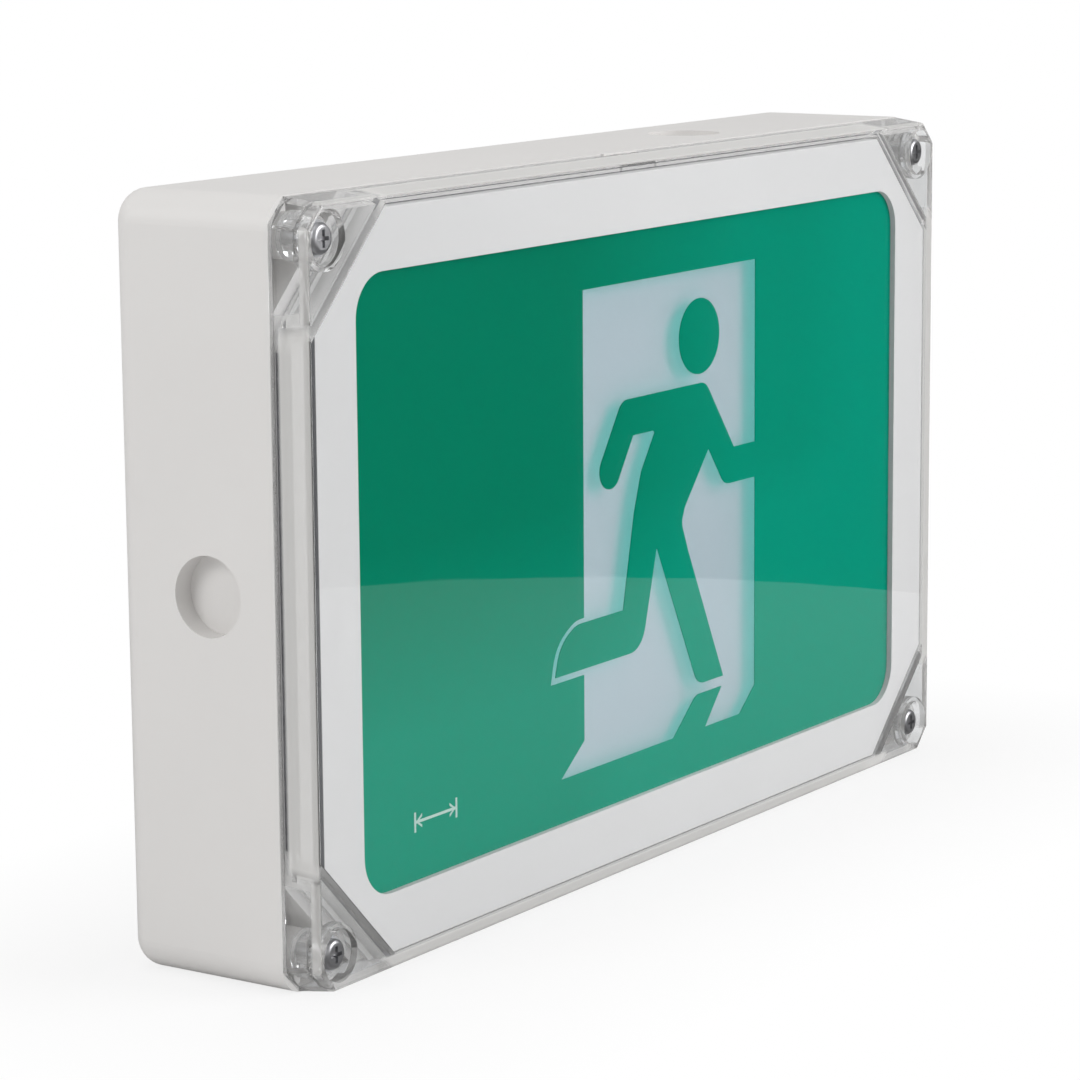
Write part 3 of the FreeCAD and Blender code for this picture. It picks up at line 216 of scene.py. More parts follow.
class Graph:
    """The node tree of one material or of the world, built a node at a time."""

    def __init__(self, name: str, world: bool = False) -> None:
        """Start an empty tree.

        Args:
            name: The material's or world's name.
            world: Whether the tree is the world's.
        """
        self.world = world
        self.holder = bpy.data.worlds.new(name) if world else bpy.data.materials.new(name)
        self.holder.use_nodes = True
        self.tree = self.holder.node_tree
        self.tree.nodes.clear()

    def add(self, kind: str, settings: Dict[str, Any], inputs: Dict[Any, Any]) -> bpy.types.Node:
        """Add a node of any type.

        Args:
            kind: The node's type.
            settings: Properties of the node, set before its sockets.
            inputs: Values, terms or sockets by input name or number.

        Returns:
            The new node.
        """
        node = self.tree.nodes.new(kind)
        for key, value in settings.items():
            setattr(node, key, value)
        for key, value in inputs.items():
            if isinstance(value, Term):
                value = value.socket
            if isinstance(value, bpy.types.NodeSocket):
                self.tree.links.new(value, node.inputs[key])
            else:
                node.inputs[key].default_value = value
        return node

    def place(self, scale: Sequence[float] = (1.0, 1.0, 1.0)) -> bpy.types.NodeSocket:
        """Give the object's own coordinates in metres, stretched by a scale.

        Args:
            scale: Factors along X, Y and Z.

        Returns:
            The vector socket.
        """
        coordinates = self.add("ShaderNodeTexCoord", {}, {})
        mapping = self.add(
            "ShaderNodeMapping", {}, {"Vector": coordinates.outputs["Object"], "Scale": scale}
        )
        return mapping.outputs["Vector"]

    def axis(self, letter: str) -> Term:
        """Give one of the object's own coordinates in metres."""
        split = self.add("ShaderNodeSeparateXYZ", {}, {"Vector": self.place()})
        return Term(self, split.outputs[letter])

    def noise(self, per_metre: float, detail: float = 2.0, stretch: Sequence[float] = (1, 1, 1)) -> Term:
        """Give a soft random field.

        Args:
            per_metre: How many lumps there are in a metre.
            detail: Octaves of finer lumps.
            stretch: Factors on the coordinates.

        Returns:
            A number from 0 to 1.
        """
        values = {"Vector": self.place(stretch), "Scale": per_metre, "Detail": detail}
        return Term(self, self.add("ShaderNodeTexNoise", {}, values).outputs["Fac"])

    def bands(self, per_metre: float, direction: str, distortion: float = 0.0) -> Term:
        """Give even bands along an axis.

        Args:
            per_metre: How many bands there are in a metre.
            direction: The axis that the bands follow one another along.
            distortion: How far they waver.

        Returns:
            A number from 0 to 1.
        """
        settings = {"wave_type": "BANDS", "bands_direction": direction}
        values = {
            "Vector": self.place(), "Scale": per_metre * math.pi / 10.0, "Distortion": distortion,
        }
        return Term(self, self.add("ShaderNodeTexWave", settings, values).outputs["Fac"])

    def fade(self, factor: Any, low: float, high: float, start: float = 0.0, end: float = 1.0) -> Term:
        """Spread a number over a new range.

        Args:
            factor: The number.
            low: The result at the start.
            high: The result at the end.
            start: The number at which the fade starts.
            end: The number at which it ends.

        Returns:
            The spread number, held between low and high.
        """
        values = {"Value": factor, "From Min": start, "From Max": end, "To Min": low, "To Max": high}
        return Term(self, self.add("ShaderNodeMapRange", {}, values).outputs["Result"])

    def band(self, factor: Any, edges: Band, low: float = 0.0, high: float = 1.0) -> Term:
        """Spread a number over a new range between two places, given in millimetres.

        Args:
            factor: The number, in metres.
            edges: Where the fade starts and where it ends, in millimetres.
            low: The result at the start.
            high: The result at the end.

        Returns:
            The spread number.
        """
        return self.fade(factor, low, high, edges[0] * MM, edges[1] * MM)

    def along(self, way: Sequence[float]) -> Term:
        """Give how nearly the world is looked at along one direction.

        Args:
            way: The direction.

        Returns:
            A number from -1 to 1.
        """
        coordinates = self.add("ShaderNodeTexCoord", {}, {})
        values = {0: coordinates.outputs["Generated"], 1: Vector(way).normalized()}
        node = self.add("ShaderNodeVectorMath", {"operation": "DOT_PRODUCT"}, values)
        return Term(self, node.outputs["Value"])

    def light_path(self) -> Dict[str, Term]:
        """Give what kind of ray is being followed, by the names of the kinds."""
        node = self.add("ShaderNodeLightPath", {}, {})
        return {socket.name: Term(self, socket) for socket in node.outputs}

    def looked_at(self) -> Term:
        """Tell whether the eye sees a surface directly or through clear pieces alone.

        Returns:
            1 where it does, and 0 elsewhere.
        """
        path = self.light_path()
        straight = path["Is Camera Ray"].top(path["Is Transmission Ray"])
        return straight * (1.0 - path["Glossy Depth"].above(HALF_A_BOUNCE))

    def mirrored(self) -> Term:
        """Tell whether a surface is seen in a reflection.

        Returns:
            1 where it is, and 0 elsewhere.
        """
        path = self.light_path()
        return path["Is Glossy Ray"].top(path["Glossy Depth"].above(HALF_A_BOUNCE))

    def mix(self, factor: Any, first: Any, second: Any) -> bpy.types.NodeSocket:
        """Mix two colours.

        Args:
            factor: The share of the second colour.
            first: The first colour or socket.
            second: The second colour or socket.

        Returns:
            The mixed colour's socket.
        """
        node = self.add("ShaderNodeMix", {"data_type": "RGBA"}, {0: factor, 6: first, 7: second})
        return node.outputs[2]

    def bump(self, height: Term, depth: float, strength: float = 1.0) -> bpy.types.NodeSocket:
        """Turn a height into a surface normal.

        Args:
            height: The height, from 0 to 1.
            depth: What a height of 1 stands for, in metres.
            strength: The share of the effect.

        Returns:
            The normal's socket.
        """
        values = {"Height": height, "Distance": depth, "Strength": strength}
        return self.add("ShaderNodeBump", {}, values).outputs["Normal"]

    def close(self, surface: bpy.types.NodeSocket) -> Any:
        """Join a surface shader to the output.

        Args:
            surface: The shader.

        Returns:
            The finished material or world.
        """
        kind = "ShaderNodeOutputWorld" if self.world else "ShaderNodeOutputMaterial"
        self.add(kind, {}, {"Surface": surface})
        return self.holder

    def let_through(self, surface: bpy.types.NodeSocket, tint: Sequence[float]) -> Any:
        """Close a material that lets the light for what lies behind it through, with a tint.

        Args:
            surface: The surface shader that shows.
            tint: The linear colour that passes.

        Returns:
            The finished material.
        """
        open_way = self.add("ShaderNodeBsdfTransparent", {}, {"Color": tint})
        path = self.light_path()
        passes = path["Is Shadow Ray"].top(path["Is Diffuse Ray"])
        mixed = self.add("ShaderNodeMixShader", {}, {0: passes, 1: surface, 2: open_way.outputs[0]})
        return self.close(mixed.outputs[0])

    def principled(self, values: Dict[str, Any]) -> bpy.types.NodeSocket:
        """Add the main surface shader."""
        return self.add("ShaderNodeBsdfPrincipled", {}, values).outputs["BSDF"]


# ---------------------------------------------------------------- finishes
@dataclass(frozen=True)
class MouldedPlastic:
    """Injection moulded plastic with a fine satin grain."""

    name: str
    colour: Levels
    roughness: float = 0.42
    grain: float = 0.000012
    grain_per_metre: float = 2600.0
    cloud: float = 0.03
    clouds_per_metre: float = 22.0
    patches_per_metre: float = 60.0
    spread: float = 0.05
    ior: float = 1.5

    def colouring(self, g: Graph) -> bpy.types.NodeSocket:
        """Give the colour, with faint clouds.

        Args:
            g: The material's tree.

        Returns:
            The colour's socket.
        """
        base = tone(*self.colour)
        return g.mix(g.noise(self.clouds_per_metre, 3.0), shaded(base, 1.0 - self.cloud), base)

    def build(self) -> bpy.types.Material:
        """Make the material.

        Returns:
            The finished material.
        """
        g = Graph(self.name)
        pits = g.noise(self.grain_per_metre)
        patches = g.noise(self.patches_per_metre, 3.0)
        surface = g.principled({
            "Base Color": self.colouring(g),
            "Roughness": g.fade(patches, self.roughness - self.spread, self.roughness + self.spread),
            "Normal": g.bump(pits, self.grain),
            "IOR": self.ior,
        })
        return g.close(surface)


@dataclass(frozen=True)
class FramePlastic(MouldedPlastic):
    """Moulded plastic of the legend's frame, with a painted shadow line along its left edge and painted
    shade that darkens it towards the left.
    """

    # Tones and bands of the painted shadow line at the left edge and of the painted shade towards the left.
    shadow_line_tone: Levels = (92, 92, 94)
    shaded: Levels = (231, 230, 229)
    skin: Band = (0.3, 0.6)
    line: Band = (1.5, 1.9)
    left: Band = (-180.0, 20.0)

    def colouring(self, g: Graph) -> bpy.types.NodeSocket:
        """Give the colour, with painted shade that darkens it towards the left and a painted shadow line
        along its left edge.

        Args:
            g: The material's tree.

        Returns:
            The colour's socket.
        """
        low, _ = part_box("legend_tray")
        # Painted shadow: a dark strip on the front face near the frame's left edge, on that side only.
        skin = g.band(g.axis("Y") - float(low.y), self.skin, 1.0, 0.0)
        painted_shadow_line = g.band(g.axis("X") - float(low.x), self.line, 1.0, 0.0) * skin
        # Painted shade: the frame's colour darkens towards the left and is lighter towards the right.
        left = g.band(g.axis("X"), self.left, 1.0, 0.0)
        body = g.mix(left, super().colouring(g), tone(*self.shaded))
        return g.mix(painted_shadow_line, body, tone(*self.shadow_line_tone))


@dataclass(frozen=True)
class ClearMoulding:
    """Clear polished plastic with faint flow waves, which lets light through to what it covers."""

    name: str
    tint: Levels = (252, 253, 254)
    roughness: float = 0.012
    ior: float = 1.585
    wave: float = 0.00004
    waves_per_metre: float = 16.0
    patches_per_metre: float = 40.0
    spread: float = 0.5
    passing: Triple = (0.97, 0.972, 0.975)

    def clouded(self, g: Graph, body: bpy.types.NodeSocket) -> bpy.types.NodeSocket:
        """Give the clear surface as it is."""
        return body

    def build(self) -> bpy.types.Material:
        """Make the material.

        Returns:
            The finished material.
        """
        g = Graph(self.name)
        waves = g.noise(self.waves_per_metre, 1.0)
        low, high = self.roughness * (1.0 - self.spread), self.roughness * (1.0 + self.spread)
        body = g.principled({
            "Base Color": tone(*self.tint),
            "Roughness": g.fade(g.noise(self.patches_per_metre), low, high),
            "Normal": g.bump(waves, self.wave),
            "IOR": self.ior,
            "Transmission Weight": 1.0,
        })
        return g.let_through(self.clouded(g, body), self.passing + (1.0,))


@dataclass(frozen=True)
class CoverMoulding(ClearMoulding):
    """The cover's clear plastic, which looks milky along its thick sides, corners and edges, with a painted
    light border along its right and lower edges only.

    Each band says, in millimetres, where one of the milky places starts and ends. A corner is
    measured along X and Z together, from the line that cuts it off.
    """

    cloud: Levels = (216, 215, 213)
    side_milk: float = 0.82
    corner_milk: float = 0.1
    border_painted_light: float = 0.62
    arris_milk: float = 0.6
    wall_milk: float = 0.55
    front_share: float = 0.1
    corner_share: float = 0.2
    side_inset: float = 2.6
    corner_cut: float = 43.0
    right_border: float = 6.4
    under_border: float = 5.4
    side: Band = (0.0, 0.6)
    side_front: Band = (0.05, 0.4)
    side_back: Band = (9.8, 10.8)
    straight: Band = (2.0, 6.0)
    corner: Band = (-2.0, 0.0)
    arris_depth: Band = (2.6, 3.4)
    arris_start: Band = (3.0, 6.0)
    wall_start: Band = (-5.6, -4.8)
    wall_end: Band = (5.5, 6.5)
    wall_depth: Band = (3.2, 4.2)
    painted_light_border: Band = (-0.7, 0.0)

    def milk_and_painted_light_share(self, g: Graph) -> Term:
        """Give the share of milky light, and of painted light along the right and lower edges.

        Args:
            g: The material's tree.

        Returns:
            The share at each place.
        """
        low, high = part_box("clear_cover")
        reach_x, reach_z = float(high.x), float(high.z)
        x = g.axis("X").size()
        z = g.axis("Z").size()
        out = (x - (reach_x - self.side_inset * MM)).top(z - (reach_z - self.side_inset * MM))
        sides = g.band(out, self.side)
        depth = g.axis("Y") - float(low.y)
        cut = x + z - (reach_x + reach_z - self.corner_cut * MM)
        straight = g.band(cut, self.straight, 1.0, self.corner_share)
        belt = g.band(depth, self.side_front, self.front_share) * g.band(depth, self.side_back, 1.0, 0.0)
        belt = sides * belt * straight * self.side_milk
        corner = g.band(cut, self.corner, 0.0, self.corner_milk)
        arris = sides * g.band(depth, self.arris_depth, self.arris_milk, 0.0) * g.band(cut, self.arris_start)
        wall = g.band(cut, self.wall_start) * g.band(cut, self.wall_end, 1.0, 0.0)
        sealing = wall * (1.0 - sides) * g.band(depth, self.wall_depth, 0.0, self.wall_milk)
        # Painted light: a pale border along the cover's right and lower edges only.
        right = g.axis("X") - (reach_x - self.right_border * MM)
        under = 0.0 - g.axis("Z") - (reach_z - self.under_border * MM)
        painted_light_border = g.band(right.top(under), self.painted_light_border, 0.0, self.border_painted_light) * straight
        return belt.top(corner).top(arris).top(sealing).top(painted_light_border)

    def clouded(self, g: Graph, body: bpy.types.NodeSocket) -> bpy.types.NodeSocket:
        """Mix milky light into the clear surface.

        Args:
            g: The material's tree.
            body: The clear surface.

        Returns:
            The mixed surface.
        """
        cloud = g.add("ShaderNodeBsdfDiffuse", {}, {"Color": tone(*self.cloud)})
        milky = {0: self.milk_and_painted_light_share(g), 1: body, 2: cloud.outputs[0]}
        return g.add("ShaderNodeMixShader", {}, milky).outputs[0]


@dataclass(frozen=True)
class PrintedFilm:
    """Coloured sign film, which tints the light for the sheet behind it; painted light makes it lighter
    towards the right and a painted reflection lightens its lower part.
    """

    name: str
    colour: Levels
    deep: Levels
    passing: Triple = (0.55, 0.95, 0.88)
    roughness: float = 0.25
    # Bands and shares of the painted light across the film and of the painted reflection below.
    painted_light_across: Band = (-50.0, 60.0)
    painted_light_far_right: Band = (100.0, 165.0)
    painted_reflection_below: Band = (-50.0, 10.0)
    shares: Triple = (0.7, 0.35, 0.7)
    cloud: float = 0.2
    clouds_per_metre: float = 7.0
    grain_per_metre: float = 900.0
    spread: float = 0.04
    shine: float = 0.03

    def build(self) -> bpy.types.Material:
        """Make the material.

        Returns:
            The finished material.
        """
        g = Graph(self.name)
        clouds = (g.noise(self.clouds_per_metre, 1.0) - 0.25) * self.cloud
        # Painted light: lighter towards the right, and again near the far right edge.
        painted_light_across = g.band(g.axis("X"), self.painted_light_across, 0.0, self.shares[0])
        painted_light_across = painted_light_across + g.band(g.axis("X"), self.painted_light_far_right, 0.0, self.shares[1])
        # Painted reflection: the table's reflection lightens the lower part.
        painted_reflection_below = g.band(g.axis("Z"), self.painted_reflection_below, self.shares[2], 0.0)
        clouds_and_painted_light = (painted_light_across + painted_reflection_below + clouds).clamped()
        grain = g.noise(self.grain_per_metre)
        surface = g.principled({
            "Base Color": g.mix(clouds_and_painted_light, tone(*self.deep), tone(*self.colour)),
            "Roughness": g.fade(grain, self.roughness - self.spread, self.roughness + self.spread),
            "Specular IOR Level": self.shine,
        })
        return g.let_through(surface, self.passing + (1.0,))


@dataclass(frozen=True)
class OpalSheet:
    """Milky sheet that spreads light."""

    name: str
    colour: Levels
    edge: Levels
    milk_per_metre: float = 14.0
    patches_per_metre: float = 500.0
    grain_per_metre: float = 1500.0
    grain: float = 0.000006
    rough: Band = (0.42, 0.5)

    def build(self) -> bpy.types.Material:
        """Make the material.

        Returns:
            The finished material.
        """
        g = Graph(self.name)
        milk = g.noise(self.milk_per_metre)
        surface = g.principled({
            "Base Color": g.mix(milk, tone(*self.edge), tone(*self.colour)),
            "Roughness": g.fade(g.noise(self.patches_per_metre, 1.0), *self.rough),
            "Normal": g.bump(g.noise(self.grain_per_metre, 1.0), self.grain),
        })
        return g.close(surface)


class Lay(Enum):
    """The way that the fine lines of a metal run."""

    DRAWN_X = (1.0, 14.0, 14.0)
    TURNED_Y = (6.0, 90.0, 6.0)
    TURNED_Z = (6.0, 6.0, 90.0)
    ROLLED = (2.0, 16.0, 16.0)


@dataclass(frozen=True)
class WorkedMetal:
    """Bare or plated metal with fine tool lines."""

    name: str
    colour: Levels
    roughness: float = 0.28
    lay: Lay = Lay.TURNED_Y
    lines_per_metre: float = 160.0
    line_depth: float = 0.00001
    dull_share: float = 0.72
    spread: Band = (-0.08, 0.12)

    def build(self) -> bpy.types.Material:
        """Make the material.

        Returns:
            The finished material.
        """
        g = Graph(self.name)
        base = tone(*self.colour)
        lines = g.noise(self.lines_per_metre, 3.0, self.lay.value)
        finest, coarsest = (self.roughness + change for change in self.spread)
        surface = g.principled({
            "Base Color": g.mix(lines, shaded(base, self.dull_share), base),
            "Metallic": 1.0,
            "Roughness": g.fade(lines, finest, coarsest),
            "Normal": g.bump(lines, self.line_depth),
        })
        return g.close(surface)


@dataclass(frozen=True)
class SoftRubber:
    """Matt rubber with dusty pale patches, and painted light that makes its corners pale where asked."""

    name: str
    colour: Levels
    bloom_and_lit_tone: Levels
    corner_painted_light: float = 0.0
    corner_cut: float = 40.0
    corner: Band = (-1.0, 1.0)
    dust_per_metre: float = 350.0
    grain_per_metre: float = 1800.0
    grain: float = 0.00003
    rough: Band = (0.68, 0.85)

    def build(self) -> bpy.types.Material:
        """Make the material.

        Returns:
            The finished material.
        """
        g = Graph(self.name)
        dust_and_painted_light = g.noise(self.dust_per_metre, 4.0) ** 3.0
        # Painted light and shade: the gasket is pale in its cut-off corners and dark along its straight
        # sides.
        if self.corner_painted_light > 0.0:
            _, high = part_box("cover_gasket")
            reach = float(high.x + high.z) - self.corner_cut * MM
            cut = g.axis("X").size() + g.axis("Z").size() - reach
            dust_and_painted_light = (dust_and_painted_light + g.band(cut, self.corner, 0.0, self.corner_painted_light)).clamped()
        surface = g.principled({
            "Base Color": g.mix(dust_and_painted_light, tone(*self.colour), tone(*self.bloom_and_lit_tone)),
            "Roughness": g.fade(dust_and_painted_light, *self.rough),
            "Normal": g.bump(g.noise(self.grain_per_metre, 3.0), self.grain),
        })
        return g.close(surface)


@dataclass(frozen=True)
class PowderCoat:
    """Baked powder paint with a slight orange-peel."""

    name: str
    colour: Levels
    peel_per_metre: float = 700.0
    peel_depth: float = 0.00003
    clouds_per_metre: float = 30.0
    dim_share: float = 0.94
    rough: Band = (0.34, 0.46)

    def build(self) -> bpy.types.Material:
        """Make the material.

        Returns:
            The finished material.
        """
        g = Graph(self.name)
        peel = g.noise(self.peel_per_metre, 1.0)
        base = tone(*self.colour)
        surface = g.principled({
            "Base Color": g.mix(g.noise(self.clouds_per_metre), shaded(base, self.dim_share), base),
            "Roughness": g.fade(peel, *self.rough),
            "Normal": g.bump(peel, self.peel_depth),
        })
        return g.close(surface)


@dataclass(frozen=True)
class CircuitBoard:
    """Solder mask over copper tracks that run along the board."""

    name: str
    mask: Levels
    track: Levels
    tracks_per_metre: float = 210.0
    track_edge: float = 0.62
    breaks_per_metre: float = 90.0
    break_edge: float = 0.42
    break_stretch: Triple = (1.0, 1.0, 4.0)
    track_height: float = 0.00003
    patches_per_metre: float = 400.0
    rough: Band = (0.3, 0.42)

    def build(self) -> bpy.types.Material:
        """Make the material.

        Returns:
            The finished material.
        """
        g = Graph(self.name)
        raised = g.bands(self.tracks_per_metre, "Z").above(self.track_edge)
        breaks = g.noise(self.breaks_per_metre, 0.0, self.break_stretch).above(self.break_edge)
        tracks = raised * breaks
        surface = g.principled({
            "Base Color": g.mix(tracks, tone(*self.mask), tone(*self.track)),
            "Roughness": g.fade(g.noise(self.patches_per_metre), *self.rough),
            "Normal": g.bump(tracks, self.track_height),
        })
        return g.close(surface)


@dataclass(frozen=True)
class WoundCoil:
    """Copper wire under clear varnish, in rows."""

    name: str
    copper: Levels
    tape: Levels
    tape_middle: float = 40.0 * MM
    tape_half: float = 6.0 * MM
    rows_per_metre: float = 1400.0
    row_height: float = 0.0002
    rough: Band = (0.3, 0.5)

    def build(self) -> bpy.types.Material:
        """Make the material.

        Returns:
            The finished material.
        """
        g = Graph(self.name)
        rows = g.bands(self.rows_per_metre, "X")
        taped = (g.axis("Z") - self.tape_middle).size().above(self.tape_half)
        surface = g.principled({
            "Base Color": g.mix(taped, tone(*self.copper), tone(*self.tape)),
            "Roughness": g.fade(rows, *self.rough),
            "Normal": g.bump(rows * (1.0 - taped), self.row_height),
        })
        return g.close(surface)


@dataclass(frozen=True)
class ShrunkSleeve:
    """Thin glossy sleeve drawn tight, with small wrinkles."""

    name: str
    colour: Levels
    creases_per_metre: float = 70.0
    crease_stretch: Triple = (5.0, 1.0, 1.0)
    crease_depth: float = 0.0003
    crease_show: float = 0.6
    pale_share: float = 1.5
    pale_lift: float = 0.02
    rough: Band = (0.16, 0.34)
    coat: float = 0.3

    def build(self) -> bpy.types.Material:
        """Make the material.

        Returns:
            The finished material.
        """
        g = Graph(self.name)
        creases = g.noise(self.creases_per_metre, 3.0, self.crease_stretch)
        base = tone(*self.colour)
        pale = shaded(base, self.pale_share, self.pale_lift)
        surface = g.principled({
            "Base Color": g.mix(creases ** 3.0, base, pale),
            "Roughness": g.fade(creases, *self.rough),
            "Normal": g.bump(creases, self.crease_depth, self.crease_show),
            "Coat Weight": self.coat,
        })
        return g.close(surface)


@dataclass(frozen=True)
class LampFace:
    """Light-emitting package: yellow phosphor in a pale frame, unlit."""

    name: str
    phosphor: Levels
    frame_tone: Levels
    domes_per_metre: float = 1200.0
    dome_height: float = 0.00002
    rough: Band = (0.2, 0.4)

    def build(self) -> bpy.types.Material:
        """Make the material.

        Returns:
            The finished material.
        """
        g = Graph(self.name)
        domes = g.noise(self.domes_per_metre, 1.0)
        surface = g.principled({
            "Base Color": g.mix(domes, tone(*self.frame_tone), tone(*self.phosphor)),
            "Roughness": g.fade(domes, *self.rough),
            "Normal": g.bump(domes, self.dome_height),
        })
        return g.close(surface)


class Finish(Enum):
    """Every finish on the object."""

    HOUSING = MouldedPlastic("satin white housing", (226, 224, 222), 0.42)
    TRAY = FramePlastic("satin white tray", (244, 243, 242), 0.36, 0.000006)
    SPACER = MouldedPlastic("white spacer", (222, 222, 222), 0.5)
    COVER = CoverMoulding("clear polished cover")
    PLATE = ClearMoulding("clear legend plate", (243, 248, 249), 0.01, 1.49, 0.00001, 10.0)
    GREEN = PrintedFilm("green sign film", (0, 160, 131), (0, 132, 100))
    MARK = PrintedFilm("pale printed mark", (196, 226, 216), (184, 216, 206), (0.7, 0.8, 0.78))
    OPAL = OpalSheet("opal diffuser", (222, 234, 241), (214, 228, 236))
    SCREW = WorkedMetal("stainless cover screw", (196, 196, 199), 0.32)
    STEEL = WorkedMetal("plated small screw", (176, 176, 178), 0.3)
    SPRING = WorkedMetal("bright spring steel", (188, 188, 190), 0.22, Lay.ROLLED)
    INSERT = WorkedMetal("nickel plated insert", (178, 177, 173), 0.3)
    TAG = WorkedMetal("tinned tag", (196, 192, 182), 0.34, Lay.ROLLED)
    NICKEL = WorkedMetal("nickel plated bush", (190, 188, 182), 0.2, Lay.TURNED_Z)
    # The sealing rubber's last number is the share of painted light in its corners.
    SEAL = SoftRubber("grey sealing rubber", (84, 84, 88), (190, 190, 193), 0.9)
    GROMMET = SoftRubber("grey grommet rubber", (58, 58, 60), (96, 96, 98))
    NYLON = MouldedPlastic("natural nylon", (214, 212, 204), 0.5)
    WASHER = MouldedPlastic("grey nylon washer", (176, 177, 179), 0.44)
    SHEET = PowderCoat("white powder coat", (226, 226, 224))
    LAMP_BOARD = CircuitBoard("white lamp board", (230, 231, 228), (214, 216, 210))
    GEAR_BOARD = CircuitBoard("green gear board", (20, 92, 52), (38, 124, 72), 320.0)
    LAMP = LampFace("lamp package", (236, 206, 96), (236, 232, 214))
    CASE = MouldedPlastic("gear case", (206, 206, 202), 0.5)
    LID = MouldedPlastic("gear lid", (196, 196, 193), 0.48)
    COIL = WoundCoil("wound coil", (168, 92, 44), (214, 178, 62))
    CAN = ShrunkSleeve("capacitor sleeve", (22, 24, 46))
    SOCKET = MouldedPlastic("connector nylon", (222, 218, 204), 0.46)
    PACK = ShrunkSleeve("battery sleeve", (34, 84, 152))
    TERMINAL = MouldedPlastic("terminal nylon", (208, 206, 196), 0.48)
    BROWN = MouldedPlastic("brown insulation", (112, 70, 44), 0.36, 0.000004)
    RED = MouldedPlastic("red insulation", (170, 38, 34), 0.36, 0.000004)
    WHITE = MouldedPlastic("white insulation", (224, 224, 220), 0.36, 0.000004)
    BLUE = MouldedPlastic("blue insulation", (44, 84, 158), 0.36, 0.000004)
    BUTTON = MouldedPlastic("red button", (178, 30, 28), 0.26, 0.000004)
    SWITCH = MouldedPlastic("black switch body", (38, 38, 40), 0.44)
    LENS = ClearMoulding("green lens", (120, 214, 140), 0.05, 1.49, 0.00001, 90.0)
    EPOXY = MouldedPlastic("lamp epoxy", (204, 222, 206), 0.18, 0.000002)


DRESS: Dict[Finish, Tuple[str, ...]] = {
    Finish.HOUSING: ("base_housing",),
    Finish.TRAY: ("legend_tray",),
    Finish.SPACER: ("plate_spacer",),
    Finish.COVER: ("clear_cover",),
    Finish.PLATE: ("legend_plate",),
    Finish.GREEN: ("legend_film",),
    Finish.MARK: ("distance_mark",),
    Finish.OPAL: ("diffuser_plate",),
    Finish.SCREW: ("cover_screws",),
    Finish.STEEL: (
        "gear_tray_screws", "lamp_board_screws", "driver_screws", "strap_screws", "terminal_screws",
    ),
    Finish.SPRING: ("plate_retainers", "battery_clips", "button_spring"),
    Finish.INSERT: ("threaded_inserts",),
    Finish.TAG: ("switch_tags",),
    Finish.NICKEL: ("button_bush", "button_nut"),
    Finish.SEAL: ("cover_gasket",),
    Finish.GROMMET: ("entry_grommet", "fixing_seals"),
    Finish.WASHER: ("screw_washers",),
    Finish.NYLON: ("driver_posts",),
    Finish.SHEET: ("gear_tray",),
    Finish.LAMP_BOARD: ("lamp_board_upper", "lamp_board_lower"),
    Finish.GEAR_BOARD: ("driver_board",),
    Finish.LAMP: ("lamp_chips",),
    Finish.CASE: ("driver_case",),
    Finish.LID: ("driver_lid",),
    Finish.COIL: ("driver_transformer",),
    Finish.CAN: ("driver_capacitors",),
    Finish.SOCKET: ("driver_connector",),
    Finish.PACK: ("battery_pack",),
    Finish.TERMINAL: ("mains_terminal",),
    Finish.BROWN: ("mains_leads",),
    Finish.RED: ("battery_leads",),
    Finish.WHITE: ("lamp_leads",),
    Finish.BLUE: ("button_leads",),
    Finish.BUTTON: ("test_plunger",),
    Finish.SWITCH: ("test_switch",),
    Finish.LENS: ("charge_lens",),
    Finish.EPOXY: ("charge_lamp",),
}


class Wardrobe:
    """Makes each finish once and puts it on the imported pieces."""

    def __init__(self) -> None:
        """Start with nothing made."""
        self.made: Dict[Finish, bpy.types.Material] = {}

    def get(self, finish: Finish) -> bpy.types.Material:
        """Give a finish's material, making it the first time."""
        if finish not in self.made:
            self.made[finish] = finish.value.build()
        return self.made[finish]

    def dress(self) -> None:
        """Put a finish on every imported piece."""
        for finish, names in DRESS.items():
            for name in names:
                for slot in frame["nodes"][name].material_slots:
                    slot.material = self.get(finish)
                log.info("%s: %s", name, finish.value.name)


# ---------------------------------------------------------------- added pieces
def frame_size(node: str) -> Triple:
    """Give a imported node's size along each axis."""
    low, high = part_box(node)
    return high.x - low.x, high.y - low.y, high.z - low.z


